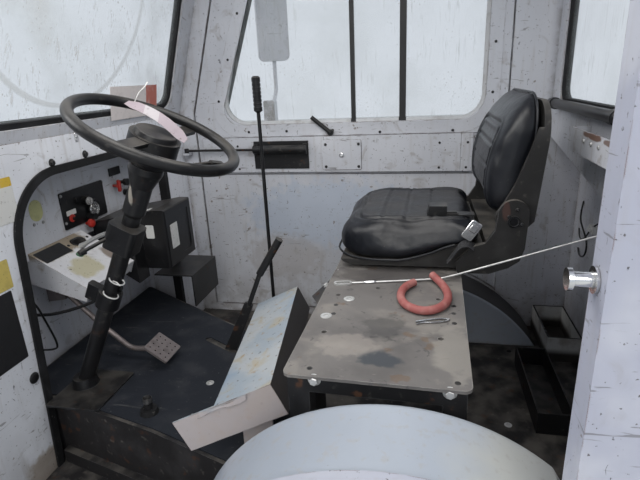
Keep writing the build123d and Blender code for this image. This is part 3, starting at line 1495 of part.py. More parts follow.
def door_fittings():
    belt_face = DOOR_INNER - BELT_PROUD
    with BuildPart() as fittings:
        # Door check: back plate, cylinder in two saddles, rod and eye
        with BuildSketch(across(belt_face - SEAT_GAP)):
            with Locations(((CHECK_FRONT + CHECK_REAR) / 2, (BELT_FOOT + BELT_TOP) / 2)):
                Rectangle(CHECK_REAR - CHECK_FRONT, BELT_TOP - BELT_FOOT - 30)
        extrude(amount=LOCK_SHEET)
        for saddle_x in (CHECK_FRONT + 12, CHECK_REAR - 12):
            with BuildSketch(across(belt_face - SEAT_GAP - LOCK_SHEET)):
                with Locations((saddle_x, CHECK_Z)):
                    Rectangle(14, 2 * CHECK_CYLINDER + 8)
            extrude(amount=belt_face - CHECK_Y - LOCK_SHEET)
        with BuildSketch(Plane(origin=(CHECK_REAR - 4, CHECK_Y, CHECK_Z), z_dir=(-1, 0, 0))):
            Circle(CHECK_CYLINDER)
        extrude(amount=CHECK_REAR - CHECK_FRONT - 8)
        with BuildSketch(Plane(origin=(CHECK_FRONT + 12, CHECK_Y, CHECK_Z), z_dir=(-1, 0, 0))):
            Circle(CHECK_ROD)
        extrude(amount=CHECK_FRONT + 12 - CHECK_X)
        with BuildSketch(Plane.XY.offset(CHECK_Z - CHECK_EYE)):
            with Locations((CHECK_X, CHECK_Y)):
                Circle(CHECK_EYE)
        extrude(amount=2 * CHECK_EYE)
        # Window handle
        handle = Vector(HANDLE_END[0] - HANDLE_START[0], 0, HANDLE_END[1] - HANDLE_START[1])
        with BuildSketch(Plane(origin=(HANDLE_START[0], HANDLE_Y, HANDLE_START[1]), z_dir=handle)):
            Circle(8)
        extrude(amount=handle.length)
        with BuildSketch(across(DOOR_INNER - SEAT_GAP)):
            with Locations(HANDLE_START):
                Circle(12)
        extrude(amount=DOOR_INNER - HANDLE_Y)
    return fittings


MIRROR_CENTRE = (-339, HALF_OUTSIDE + 115, 1265)
MIRROR_WIDTH = 125
MIRROR_HEIGHT = 270
MIRROR_DEPTH = 40
MIRROR_YAW = 25
MIRROR_BASE = (-339, 925)
MIRROR_ARM = 8


def door_mirror():
    with BuildPart() as mirror_part:
        head_plane = Plane(
            origin=MIRROR_CENTRE,
            x_dir=(cos(radians(MIRROR_YAW)), sin(radians(MIRROR_YAW)), 0),
            z_dir=(sin(radians(MIRROR_YAW)), -cos(radians(MIRROR_YAW)), 0),
        )
        with BuildSketch(head_plane.offset(-MIRROR_DEPTH / 2)):
            RectangleRounded(MIRROR_WIDTH, MIRROR_HEIGHT, 24)
        extrude(amount=MIRROR_DEPTH)
        arm_foot = (MIRROR_BASE[0], DOOR_INNER + DOOR_THICK + 30, MIRROR_BASE[1])
        arm_top = (MIRROR_CENTRE[0], MIRROR_CENTRE[1], MIRROR_CENTRE[2] - MIRROR_HEIGHT / 2 + 10)
        arm_knee = (MIRROR_CENTRE[0], MIRROR_CENTRE[1], MIRROR_BASE[1] + 90)
        with BuildLine() as arm_line:
            FilletPolyline(arm_foot, arm_knee, arm_top, radius=40)
        with BuildSketch(Plane(origin=arm_foot, z_dir=arm_line.line % 0)):
            Circle(MIRROR_ARM)
        sweep(path=arm_line.line)
        with BuildSketch(across(arm_foot[1] + 10)):
            with Locations(MIRROR_BASE):
                RectangleRounded(46, 110, 8)
        extrude(amount=40 - SEAT_GAP)
    return mirror_part


hinge_axis_left = Axis((HINGE_X, -HINGE_Y, 0), (0, 0, 1))


def swung_open(piece):
    """The right-hand piece mirrored to the left side and turned about the left hinge."""
    mirrored = mirror(piece.part, about=Plane.XZ)
    with BuildPart() as opened:
        add(mirrored.rotate(hinge_axis_left, -DOOR_OPEN))
    return opened


door_right = door_panel("right")
door_right_sash = door_sash("right")
door_right_glass = door_glass("right")
door_right_fittings = door_fittings()
mirror_right = door_mirror()
door_left = swung_open(door_panel("left"))
door_left_sash = swung_open(door_sash("left"))
door_left_glass = swung_open(door_glass("left"))
door_left_fittings = swung_open(door_fittings())
mirror_left = swung_open(door_mirror())

# Strikers on the rear pillars, pointing into the door openings
with BuildPart() as door_strikers:
    for side, towards in (("right", 1), ("left", -1)):
        foot_x = DOOR_REAR[side] - SEAT_GAP
        # Columns: distance from the pillar, radius, length
        for out, radius, length in ((0, 1.8 * STRIKER_RADIUS, 3), (0, STRIKER_RADIUS, STRIKER_LENGTH),
                                    (STRIKER_LENGTH - 5, 1.5 * STRIKER_RADIUS, 5)):
            step_at = (foot_x - out, towards * STRIKER_Y, STRIKER_Z)
            with BuildSketch(Plane(origin=step_at, z_dir=(-1, 0, 0))):
                Circle(radius)
            extrude(amount=length)

pieces = {
    "underframe": underframe,
    "floor_pan": floor_pan,
    "wheel_arch_left": wheel_arch_left,
    "wheel_arch_right": wheel_arch_right,
    "side_frame_right": side_frame_right,
    "side_frame_left": side_frame_left,
    "front_bulkhead": front_bulkhead,
    "footwell_trim": footwell_trim,
    "nose_shell": nose_shell,
    "windscreen_frame": windscreen_frame,
    "windscreen_glass": windscreen_glass,
    "window_seals": window_seals,
    "rear_wall": rear_wall,
    "rear_glass": rear_glass,
    "rear_locker": rear_locker,
    "window_roller": window_roller,
    "rear_ledge": rear_ledge,
    "roof": roof,
    "platform": platform,
    "floor_mat": floor_mat,
    "foot_switch": foot_switch,
    "steering_column": steering_column,
    "column_fittings": column_fittings,
    "steering_wheel": steering_wheel,
    "horn_cap": horn_cap,
    "dash_panel": dash_panel,
    "dash_instruments": dash_instruments,
    "console": console,
    "heater_box": heater_box,
    "heater_bracket": heater_bracket,
    "brake_pedal": brake_pedal,
    "gear_lever": gear_lever,
    "hand_brake": hand_brake,
    "deck_frame": deck_frame,
    "deck_plate": deck_plate,
    "heel_box": heel_box,
    "floor_tray": floor_tray,
    "corner_tray": corner_tray,
    "seat_base": seat_base,
    "seat_cushion": seat_cushion,
    "seat_back": seat_back,
    "seat_shell": seat_shell,
    "seat_belt": seat_belt,
    "pull_cable": pull_cable,
    "cable_eye": cable_eye,
    "hose_grip": hose_grip,
    "door_right": door_right,
    "door_right_sash": door_right_sash,
    "door_right_glass": door_right_glass,
    "door_right_fittings": door_right_fittings,
    "mirror_right": mirror_right,
    "door_left": door_left,
    "door_left_sash": door_left_sash,
    "door_left_glass": door_left_glass,
    "door_left_fittings": door_left_fittings,
    "mirror_left": mirror_left,
    "door_strikers": door_strikers,
}
for name, piece in pieces.items():
    piece.part.label = name
    export_step(piece.part, f"parts/{name}.step")
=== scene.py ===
import math

import bmesh
import bpy
from mathutils import Matrix, Vector, noise
from mathutils.bvhtree import BVHTree


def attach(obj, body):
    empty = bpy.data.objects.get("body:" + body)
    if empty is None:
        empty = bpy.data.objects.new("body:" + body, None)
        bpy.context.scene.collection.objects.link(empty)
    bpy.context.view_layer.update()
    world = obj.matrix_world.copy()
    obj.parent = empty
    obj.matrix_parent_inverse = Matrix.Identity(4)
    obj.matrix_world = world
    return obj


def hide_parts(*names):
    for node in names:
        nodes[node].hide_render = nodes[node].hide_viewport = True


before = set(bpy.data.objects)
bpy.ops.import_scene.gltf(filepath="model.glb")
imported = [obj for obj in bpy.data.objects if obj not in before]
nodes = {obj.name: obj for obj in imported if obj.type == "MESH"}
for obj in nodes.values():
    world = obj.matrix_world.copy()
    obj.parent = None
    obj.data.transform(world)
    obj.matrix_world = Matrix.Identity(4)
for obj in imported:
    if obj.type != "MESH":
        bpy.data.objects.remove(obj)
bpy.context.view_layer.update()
MM = 0.001

# Camera at the photo's angle: place, right and ahead directions, focal length in pixels of a 640 px frame
CAMERA_AT = (0.27, -1.21, 1.06)
CAMERA_RIGHT = (0.979, 0.200, -0.045)
CAMERA_FORWARD = (-0.203, 0.926, -0.317)
FOCAL_PX = 487
FRAME_PX = 640
SENSOR_MM = 36


def object_of(data, name):
    made = bpy.data.objects.new(name, data)
    bpy.context.scene.collection.objects.link(made)
    return made


def make_camera():
    forward = Vector(CAMERA_FORWARD).normalized()
    right = Vector(CAMERA_RIGHT)
    right = (right - right.dot(forward) * forward).normalized()
    data = bpy.data.cameras.new("photo_camera")
    data.sensor_width = SENSOR_MM
    data.lens = SENSOR_MM * FOCAL_PX / FRAME_PX
    data.clip_start = 0.02
    camera = object_of(data, "photo_camera")
    turn = Matrix((right, right.cross(forward), -forward)).transposed().to_4x4()
    camera.matrix_world = Matrix.Translation(CAMERA_AT) @ turn
    bpy.context.scene.camera = camera


make_camera()


# Cords. Rows of the routes: x, y, z in millimetres
def cord_curve(name, route, diameter):
    data = bpy.data.curves.new(name, "CURVE")
    data.dimensions = "3D"
    data.bevel_depth = diameter / 2
    data.bevel_resolution = 4
    data.resolution_u = 16
    spline = data.splines.new("NURBS")
    spline.points.add(len(route) - 1)
    for point, at in zip(spline.points, route):
        point.co = (*[v * MM for v in at], 1)
        point.radius = MM
    spline.order_u = 3
    spline.use_endpoint_u = True
    return object_of(data, name)


def line_length(curve):
    """Length in metres of the curve's own line, read from it with no bevel."""
    depth = curve.data.bevel_depth
    curve.data.bevel_depth = 0
    points = [v.co for v in bpy.data.meshes.new_from_object(curve).vertices]
    curve.data.bevel_depth = depth
    return sum((b - a).length for a, b in zip(points, points[1:]))


CABLE_LINE = [(124, -82, 562.8), (300, -47, 562.8), (350, -45.5, 573.3), (827.5, -50, 745)]


class Surface:
    """A node material: a base colour with layers over it, each with its own mask and roughness."""

    def __init__(self, name, colour, rough, metallic=0.0, coat=0.0, specular=0.5):
        self.material = bpy.data.materials.new(name)
        self.material.use_nodes = True
        self.tree = self.material.node_tree
        self.shader = self.tree.nodes["Principled BSDF"]
        self.fill(self.shader, {"Metallic": metallic, "Coat Weight": coat, "Specular IOR Level": specular})
        self.place = self.node("TexCoord").outputs["Object"]
        self.geometry = self.node("NewGeometry").outputs
        self.colour = (*colour, 1)
        self.rough = rough
        self.height = None

    def fill(self, node, inputs):
        """Sets inputs, by index or name, to values or to other nodes' outputs."""
        for key, value in dict(inputs).items():
            if isinstance(value, bpy.types.NodeSocket):
                self.tree.links.new(value, node.inputs[key])
            else:
                node.inputs[key].default_value = value

    def node(self, kind, inputs=(), **settings):
        node = self.tree.nodes.new("ShaderNode" + kind)
        for key, value in settings.items():
            setattr(node, key, value)
        self.fill(node, inputs)
        return node

    def math(self, operation, a, b=0.0):
        return self.node("Math", {0: a, 1: b}, operation=operation).outputs[0]

    def both(self, a, b):
        return self.math("MULTIPLY", a, b)

    def vector(self, operation, a, b=(0, 0, 0)):
        node = self.node("VectorMath", {0: a, 1: b}, operation=operation)
        return node.outputs["Value" if operation in ("LENGTH", "DOT_PRODUCT") else "Vector"]

    def stretched(self, stretch, offset):
        return self.vector("MULTIPLY", self.vector("ADD", self.place, offset), stretch)

    def noise(self, scale, detail=3.0, stretch=(1, 1, 1), offset=(0, 0, 0), distortion=0.0):
        return self.node("TexNoise", {"Vector": self.stretched(stretch, offset), "Scale": scale,
                                      "Detail": detail, "Distortion": distortion}).outputs[0]

    def cells(self, scale, stretch=(1, 1, 1)):
        vector = self.stretched(stretch, (0, 0, 0))
        return self.node("TexVoronoi", {"Vector": vector, "Scale": scale}).outputs["Distance"]

    def ramp(self, value, low, high, most=1.0):
        """0 below low, most above high, smooth between; low may be the larger."""
        return self.node("MapRange", {0: value, 1: low, 2: high, 3: 0, 4: most},
                         interpolation_type="SMOOTHSTEP").outputs[0]

    def spots(self, scale, detail, low, high, most=1.0, **warp):
        """Mask of uneven spots: noise between two values; warp is its stretch, offset and distortion."""
        return self.ramp(self.noise(scale, detail, **warp), low, high, most)

    def axis(self, index):
        return self.node("SeparateXYZ", {0: self.place}).outputs[index]

    def facing(self, direction, normal="Normal"):
        return self.vector("DOT_PRODUCT", self.geometry[normal], direction)

    def edge(self, radius):
        """Mask along outside edges, from how far a rounded normal leans."""
        rounded = self.node("Bevel", {"Radius": radius}, samples=4).outputs[0]
        return self.ramp(self.facing(rounded, "True Normal"), 0.985, 0.86)

    def crease(self, distance, most=1.0):
        """Mask in inside corners and under things that stand close: where painted shade goes, alone or with grime."""
        hidden = self.node("AmbientOcclusion", {"Distance": distance}, samples=4).outputs["AO"]
        return self.ramp(hidden, 0.85, 0.25, most)

    def patch(self, centre, size, ragged=0.5, scale=30):
        """Mask of an uneven patch round a place, both in millimetres."""
        away = self.vector("SUBTRACT", self.place, tuple(v * MM for v in centre))
        away = self.vector("DIVIDE", away, tuple(v * MM for v in size))
        wobble = self.math("MULTIPLY", self.math("SUBTRACT", self.noise(scale, 5), 0.5), 2 * ragged)
        return self.ramp(self.math("ADD", self.vector("LENGTH", away), wobble), 1.0, 0.65)

    def layer(self, colour, mask, rough=None):
        mixed = self.node("Mix", {0: mask, 6: self.colour, 7: (*colour, 1)}, data_type="RGBA")
        self.colour = mixed.outputs[2]
        if rough is not None:
            self.rough = self.node("Mix", {0: mask, 2: self.rough, 3: rough}).outputs[0]

    def patches(self, rows, rough=None, ragged=0.5):
        """Rows: colour, centre, size, strength."""
        for colour, centre, size, strength in rows:
            self.layer(colour, self.both(self.patch(centre, size, ragged), strength), rough)

    def relief(self, value, depth):
        """Adds to the height that the bump is made from, in millimetres."""
        more = self.both(value, depth * MM)
        self.height = more if self.height is None else self.math("ADD", self.height, more)

    def done(self, alpha=None):
        self.fill(self.shader, {"Base Color": self.colour, "Roughness": self.rough})
        if alpha is not None:
            self.fill(self.shader, {"Alpha": alpha})
        if self.height is not None:
            bump = self.node("Bump", {"Distance": 1.0, "Strength": 1.0, "Height": self.height})
            self.fill(self.shader, {"Normal": bump.outputs[0]})
        return self.material


RUST = (0.13, 0.055, 0.025)
# Brown of grime, also the colour of painted shade in inside corners
DIRT_AND_SHADE = (0.12, 0.095, 0.075)
DUST = (0.34, 0.31, 0.27)


def white_paint(name, tint=(0.60, 0.615, 0.66), patches=(), grime=0.55, streaks=0.35, foot=0.5):
    """Chalky white paint; foot is how dirty it is near the ground."""
    s = Surface(name, tint, 0.5, specular=0.4)
    s.layer((0.47, 0.48, 0.52), s.spots(2.3, 6, 0.42, 0.72, 0.6))
    s.layer((0.68, 0.69, 0.73), s.spots(6, 4, 0.52, 0.7, 0.45, offset=(3, 1, 2)))
    s.layer((0.36, 0.32, 0.28), s.spots(7, 5, 0.52, 0.78, streaks, stretch=(9, 9, 0.8)))
    s.layer((0.30, 0.27, 0.25), s.spots(16, 8, 0.57, 0.75, grime, offset=(5, 5, 5), distortion=1.2))
    s.patches(patches, 0.6)
    s.layer((0.10, 0.09, 0.08), s.spots(9, 7, 0.66, 0.7, 0.55, stretch=(1, 1, 7), offset=(1, 7, 3), distortion=2.0))
    s.layer((0.07, 0.06, 0.055), s.spots(150, 2, 0.69, 0.73, 0.8))
    s.layer((0.05, 0.05, 0.055), s.spots(60, 3, 0.70, 0.73, 0.7, stretch=(2.2, 2.2, 0.8), offset=(6, 3, 2),
                                         distortion=1.0))
    s.layer((0.16, 0.12, 0.09), s.spots(38, 4, 0.70, 0.73, 0.7, offset=(8, 2, 6)))
    # Grime and painted shade in inside corners and under things
    s.layer(DIRT_AND_SHADE, s.both(s.crease(0.035, 0.75), s.spots(22, 4, 0.3, 0.6)), 0.8)
    s.layer(DIRT_AND_SHADE, s.both(s.ramp(s.axis(2), 0.34, 0.04, foot), s.spots(12, 6, 0.3, 0.62)), 0.8)
    s.layer(RUST, s.both(s.edge(0.0025), s.spots(26, 6, 0.45, 0.6, 0.85)), 0.75)
    s.relief(s.noise(420, 2), 0.05)
    s.relief(s.noise(24, 4), 0.25)
    return s.done()


def dark_paint(name, tint, rough=0.45, *, rust, dust, patches=(), bump=0.12):
    """Dark paint or moulded plastic with dust on what faces up, and wear along its edges."""
    s = Surface(name, tint, rough, specular=0.35)
    s.layer(tuple(min(1, 2.2 * v + 0.02) for v in tint), s.spots(9, 6, 0.5, 0.75, 0.5))
    s.layer(DUST, s.both(s.ramp(s.facing((0, 0, 1)), 0.2, 0.95, dust), s.spots(14, 7, 0.35, 0.7)), 0.85)
    s.layer(DUST, s.spots(55, 6, 0.60, 0.78, dust * 0.7, offset=(2, 2, 2)), 0.8)
    s.patches(patches, 0.7)
    if rust:
        s.layer(RUST, s.spots(28, 8, 0.62, 0.70, rust, offset=(4, 0, 4)), 0.85)
    s.layer(tuple(min(1, 3 * v + 0.10) for v in tint), s.both(s.edge(0.002), s.spots(30, 4, 0.42, 0.6, 0.7)), 0.5)
    s.relief(s.noise(260, 3), bump)
    return s.done()


def rubber(name, tint, dust, scrape):
    s = Surface(name, tint, 0.75, specular=0.3)
    s.layer((0.065, 0.066, 0.072), s.spots(12, 7, 0.48, 0.72, dust))
    s.layer((0.15, 0.145, 0.14), s.spots(8, 8, 0.62, 0.74, scrape, stretch=(1, 3, 1), offset=(3, 3, 0),
                                         distortion=1.5), 0.9)
    s.layer((0.20, 0.19, 0.18), s.spots(120, 3, 0.68, 0.74, 0.3), 0.9)
    # Painted shade: near black in creases and under things
    s.layer((0.012, 0.012, 0.013), s.crease(0.02, 0.7))
    s.relief(s.noise(180, 4), 0.25)
    s.relief(s.noise(20, 4), 0.6)
    return s.done()


def vinyl():
    """Worn black leathercloth: fine grain, creases with painted shade in them, grey rubbing where it is sat on."""
    s = Surface("seat_vinyl_worn", (0.006, 0.007, 0.010), 0.34, specular=0.42)
    s.layer((0.017, 0.018, 0.023), s.spots(11, 6, 0.45, 0.72, 0.7), 0.44)
    seat_top = s.both(s.ramp(s.facing((0, 0, 1)), 0.45, 0.95), s.ramp(s.axis(2), 0.74, 0.70))
    s.layer((0.058, 0.056, 0.056), s.both(seat_top, s.spots(14, 7, 0.36, 0.66, 0.6)), 0.62)
    s.layer((0.15, 0.14, 0.13), s.spots(90, 3, 0.70, 0.77, 0.5, offset=(5, 2, 1)), 0.7)
    # Painted shade: near black in creases and under things
    s.layer((0.006, 0.006, 0.007), s.crease(0.012, 0.8))
    s.relief(s.cells(900), 0.10)
    s.relief(s.noise(45, 5, distortion=0.8), 0.5)
    return s.done()


def metal(name, tint, rough, rust, metallic=1.0):
    s = Surface(name, tint, rough, metallic=metallic)
    s.layer(tuple(0.55 * v for v in tint), s.spots(30, 5, 0.45, 0.7, 0.6), rough + 0.15)
    s.layer(tuple(0.8 * v for v in tint), s.spots(260, 2, 0.5, 0.7, 0.5))
    s.layer((0.16, 0.08, 0.045), s.spots(70, 6, 0.58, 0.7, rust, offset=(1, 2, 3)), 0.8)
    # Grime and painted shade in creases and under things
    s.layer((0.05, 0.04, 0.035), s.crease(0.006, 0.7), 0.8)
    s.relief(s.noise(500, 2), 0.04)
    return s.done()


def deck_paint():
    s = Surface("deck_worn", (0.165, 0.155, 0.148), 0.55, specular=0.4)
    s.layer((0.105, 0.098, 0.095), s.spots(7, 8, 0.42, 0.68, 0.8, offset=(1, 1, 1)))
    s.layer((0.27, 0.25, 0.225), s.spots(10, 9, 0.48, 0.74, 0.7, stretch=(1, 1.2, 1), offset=(4, 2, 0),
                                         distortion=0.4), 0.75)
    s.layer((0.045, 0.043, 0.045), s.spots(30, 7, 0.62, 0.70, 0.55, offset=(7, 7, 1), distortion=1.5))
    s.layer((0.36, 0.33, 0.30), s.spots(60, 5, 0.66, 0.74, 0.4, stretch=(1, 4, 1)), 0.8)
    s.layer((0.16, 0.10, 0.06), s.spots(22, 7, 0.63, 0.70, 0.5, offset=(9, 1, 1)), 0.8)
    s.patches((
        ((0.050, 0.058, 0.068), (198, -425, 560), (46, 34, 20), 0.9),
        ((0.30, 0.28, 0.25), (335, -380, 560), (44, 120, 20), 0.6),
        ((0.05, 0.05, 0.05), (200, -300, 560), (50, 60, 20), 0.5),
        ((0.40, 0.36, 0.32), (130, -380, 560), (70, 50, 20), 0.35),
        ((0.05, 0.045, 0.045), (190, -20, 560), (190, 60, 20), 0.6),
    ), ragged=0.7)
    s.layer((0.33, 0.31, 0.29), s.both(s.edge(0.003), s.spots(30, 5, 0.35, 0.6, 0.9)), 0.4)
    s.relief(s.noise(200, 4), 0.10)
    s.relief(s.noise(16, 3), 0.4)
    return s.done()


def heel_paint():
    s = Surface("heel_worn_and_shaded", (0.33, 0.38, 0.43), 0.5)
    s.layer((0.44, 0.46, 0.47), s.spots(9, 5, 0.45, 0.65, 0.8))
    s.layer((0.23, 0.32, 0.43), s.spots(5, 5, 0.50, 0.64, 0.75, offset=(2, 5, 1)))
    s.layer((0.42, 0.36, 0.25), s.spots(16, 9, 0.50, 0.70, 0.7, offset=(7, 2, 2), distortion=0.8), 0.7)
    s.layer((0.36, 0.25, 0.13), s.spots(50, 9, 0.58, 0.70, 0.65, offset=(1, 4, 9)), 0.8)
    s.layer((0.08, 0.065, 0.055), s.spots(95, 6, 0.63, 0.71, 0.7), 0.8)
    # The long sides, facing rear and up and front and down, are near black with painted shade; the near end is pinkish
    # white
    s.layer((0.035, 0.03, 0.03), s.ramp(s.facing((0.9, 0.12, 0.41)), 0.9, 0.96, 0.97), 0.6)
    s.layer((0.03, 0.027, 0.027), s.ramp(s.facing((-0.9, -0.12, -0.41)), 0.9, 0.96, 0.97), 0.7)
    s.layer((0.55, 0.48, 0.47), s.ramp(s.facing((0.13, -0.99, 0)), 0.9, 0.97, 0.8))
    s.layer((0.12, 0.09, 0.075), s.both(s.edge(0.0035), s.spots(24, 6, 0.42, 0.58, 0.9)), 0.75)
    s.relief(s.noise(160, 4), 0.12)
    s.relief(s.noise(15, 3), 0.6)
    return s.done()


WIPED_CENTRE = (-0.66, 0.02, 1.36)


def glass(name, dirt, arc=False):
    """Dirty window glass: mostly clear, with a film, dried drops, runs, and the arc that the wiper leaves."""
    s = Surface(name, (0.60, 0.66, 0.67), 0.06)
    film = s.spots(5, 5, 0.35, 0.75, 0.22 * dirt)
    drops = s.ramp(s.cells(70, (1, 1, 0.8)), 0.22, 0.08, 0.55 * dirt)
    drops = s.both(drops, s.spots(9, 3, 0.42, 0.6, offset=(2, 2, 2)))
    runs = s.spots(26, 5, 0.58, 0.74, 0.4 * dirt, stretch=(3, 3, 0.35))
    mask = s.math("MAXIMUM", film, s.math("MAXIMUM", drops, runs))
    if arc:
        far = s.vector("LENGTH", s.vector("SUBTRACT", s.place, WIPED_CENTRE))
        ring = s.both(s.ramp(far, 0.335, 0.342), s.ramp(far, 0.356, 0.350, 0.22))
        mask = s.math("MAXIMUM", mask, ring)
    s.layer((0.55, 0.55, 0.52), s.ramp(mask, 0.02, 0.3), 0.6)
    s.relief(s.noise(8, 2), 0.2)
    return s.done(s.math("ADD", 0.10, mask))


def arch_paint(name, shaded_top=False):
    # Painted shade: the base is a bluish grey copy of the white paint
    s = Surface(name, (0.42, 0.46, 0.52), 0.34, coat=0.15)
    s.layer((0.34, 0.375, 0.43), s.spots(3, 6, 0.42, 0.7, 0.7), 0.45)
    # Lighter, warmer patch on the right: painted sunlight
    s.layer((0.54, 0.54, 0.49), s.both(s.patch((470, -640, 430), (220, 200, 150), 0.4, 8), 0.75))
    s.layer((0.40, 0.38, 0.36), s.spots(60, 7, 0.55, 0.72, 0.45), 0.6)
    s.layer((0.18, 0.16, 0.14), s.spots(210, 2, 0.72, 0.76, 0.4))
    s.layer((0.34, 0.30, 0.26), s.spots(26, 8, 0.66, 0.74, 0.3, offset=(3, 8, 2)), 0.7)
    # Grime and painted shade in inside corners and under things
    s.layer((0.15, 0.11, 0.08), s.both(s.crease(0.02, 0.8), s.spots(20, 4, 0.3, 0.6)), 0.8)
    s.layer((0.20, 0.14, 0.10), s.both(s.edge(0.004), s.spots(26, 5, 0.35, 0.6, 0.8)), 0.7)
    if shaded_top:
        # Painted shade: every face not turned towards -y is made near black
        s.layer((0.030, 0.026, 0.024), s.ramp(s.facing((0, -1, 0)), 0.75, 0.45, 0.96), 0.7)
    s.relief(s.noise(14, 3), 0.5)
    s.relief(s.noise(300, 2), 0.04)
    return s.done()


def tray_paint():
    """White pressing with dirt spots, near black and glossy on what faces up, darker towards the bottom."""
    s = Surface("tray_dirty", (0.62, 0.62, 0.60), 0.5)
    s.layer((0.30, 0.27, 0.24), s.spots(18, 7, 0.45, 0.7, 0.8))
    s.layer((0.022, 0.022, 0.020), s.ramp(s.facing((0, 0, 1)), 0.5, 0.9, 0.97), 0.25)
    s.layer((0.04, 0.035, 0.03), s.ramp(s.axis(2), 0.115, 0.085), 0.6)
    s.relief(s.noise(60, 5), 0.6)
    return s.done()


def hose_red():
    s = Surface("hose_faded_red", (0.34, 0.100, 0.092), 0.6)
    s.layer((0.42, 0.19, 0.17), s.spots(30, 5, 0.45, 0.7, 0.8))
    s.layer((0.16, 0.09, 0.075), s.spots(60, 7, 0.60, 0.70, 0.7, offset=(4, 4, 4)), 0.75)
    # Painted shade: darker red in creases and under things
    s.layer((0.10, 0.05, 0.04), s.crease(0.008, 0.7))
    s.relief(s.noise(300, 3), 0.10)
    return s.done()


def sash_paint(name, direction, start, rear):
    """White sash frame whose two uprights are black; start is the distance of the door's zero along direction."""
    s = Surface(name, (0.60, 0.61, 0.62), 0.45)
    s.layer((0.30, 0.28, 0.26), s.spots(22, 7, 0.52, 0.75, 0.6))
    s.layer((0.05, 0.045, 0.04), s.spots(160, 2, 0.70, 0.74, 0.6))
    s.layer(RUST, s.both(s.edge(0.002), s.spots(30, 5, 0.45, 0.6, 0.7)), 0.75)
    place = s.math("SUBTRACT", s.vector("DOT_PRODUCT", s.place, direction), start * MM)
    # Columns: distance of the upright from the door's rear edge, width
    for back, width in ((562, 16), (376, 24)):
        away = s.math("ABSOLUTE", s.math("SUBTRACT", place, (rear - back) * MM))
        s.layer((0.013, 0.013, 0.014), s.ramp(away, (width / 2 + 2) * MM, (width / 2 + 1.5) * MM), 0.5)
    s.relief(s.noise(300, 2), 0.05)
    return s.done()


def printed(name, paper, second=None, axis=2, low=0.0, high=0.0):
    """Blank label stock, with a second colour in a band along one axis, in millimetres."""
    s = Surface(name, paper, 0.42)
    if second:
        value = s.axis(axis)
        s.layer(second, s.both(s.ramp(value, low * MM, (low + 0.4) * MM), s.ramp(value, (high + 0.4) * MM, high * MM)))
    s.layer(tuple(0.7 * v for v in paper), s.spots(40, 6, 0.5, 0.72, 0.5), 0.6)
    s.layer((0.08, 0.07, 0.06), s.spots(160, 3, 0.66, 0.72, 0.6), 0.8)
    s.layer((0.16, 0.13, 0.10), s.both(s.edge(0.0015), s.spots(60, 5, 0.4, 0.6, 0.7)), 0.8)
    s.relief(s.noise(90, 3), 0.15)
    return s.done()


def webbing_paint():
    s = Surface("belt_webbing", (0.020, 0.020, 0.022), 0.62, specular=0.35)
    s.layer((0.055, 0.055, 0.058), s.spots(420, 2, 0.45, 0.62, 0.7, stretch=(1, 0.25, 1)))
    s.layer((0.14, 0.13, 0.12), s.spots(60, 5, 0.6, 0.75, 0.4), 0.85)
    s.relief(s.cells(900, (1, 0.4, 1)), 0.25)
    return s.done()


PAINT = {}


def dress(key, material, names=""):
    """Keeps a paint under its key and gives it to nodes."""
    PAINT[key] = material
    for name in names.split():
        nodes[name].data.materials[0] = material


dress("wall", white_paint("wall_paint"), "side_frame_right rear_wall windscreen_frame dash_panel")
# Painted shade: the near side frame gets a darker, bluer copy of the white paint
dress("shaded_near_side", white_paint("near_side_paint", (0.44, 0.455, 0.54), grime=0.25, streaks=0.15),
      "side_frame_left")
# Rows of patches: colour, centre, size, strength
dress("ledge", white_paint("ledge_paint", patches=(
    (RUST, (660, 60, 898), (20, 80, 9), 0.9), (RUST, (660, -60, 896), (20, 50, 8), 0.8))), "rear_ledge")
dress("door", white_paint("door_paint", patches=(
    # First patch: painted shade, darker and bluer, low on the far door
    ((0.47, 0.53, 0.63), (-100, 690, 520), (420, 60, 170), 0.75),
    ((0.42, 0.40, 0.40), (-300, 690, 330), (200, 60, 120), 0.6))), "door_right door_left")
dress("bulkhead", white_paint("bulkhead_paint", (0.78, 0.80, 0.85), grime=0.4, streaks=0.3, foot=0.3, patches=(
    ((0.30, 0.24, 0.18), (-710, -330, 90), (40, 90, 60), 0.8),)), "front_bulkhead")
dress("console", white_paint("console_paint", (0.70, 0.70, 0.72), streaks=0.1, patches=(
    ((0.24, 0.18, 0.10), (-805, -10, 612), (50, 140, 60), 0.85),
    ((0.46, 0.42, 0.24), (-705, -25, 556), (52, 70, 40), 0.75),
    ((0.16, 0.11, 0.07), (-700, 90, 550), (60, 26, 40), 0.8))), "console")
dress("outside", white_paint("outside_paint", (0.62, 0.63, 0.68), grime=0.35, streaks=0.45),
      "nose_shell roof rear_locker mirror_right mirror_left")
dress("flange", white_paint("flange_paint", (0.62, 0.635, 0.68), grime=0.5, streaks=0.15))
dress("chassis", dark_paint("chassis_black", (0.012, 0.012, 0.013), rust=0.5, dust=0.2),
      "underframe deck_frame floor_tray hand_brake door_right_fittings door_left_fittings")
dress("platform", dark_paint("platform_dark", (0.017, 0.016, 0.017), 0.6, rust=0.3, dust=0.3, patches=(
    ((0.11, 0.055, 0.03), (-330, -440, 252), (190, 40, 9), 0.9),
    ((0.22, 0.20, 0.15), (640, -420, 60), (130, 210, 60), 0.75))), "platform floor_pan")
dress("column", dark_paint("column_dark", (0.009, 0.009, 0.010), 0.34, rust=0.15, dust=0.16, patches=(
    ((0.40, 0.37, 0.32), (-395, -216, 826), (7, 7, 34), 0.7),)), "steering_column heater_bracket")
dress("plastic", dark_paint("black_plastic_aged", (0.008, 0.008, 0.009), 0.34, rust=0, dust=0.16, bump=0.06),
      "column_fittings steering_wheel horn_cap dash_instruments heater_box gear_lever window_roller seat_belt")
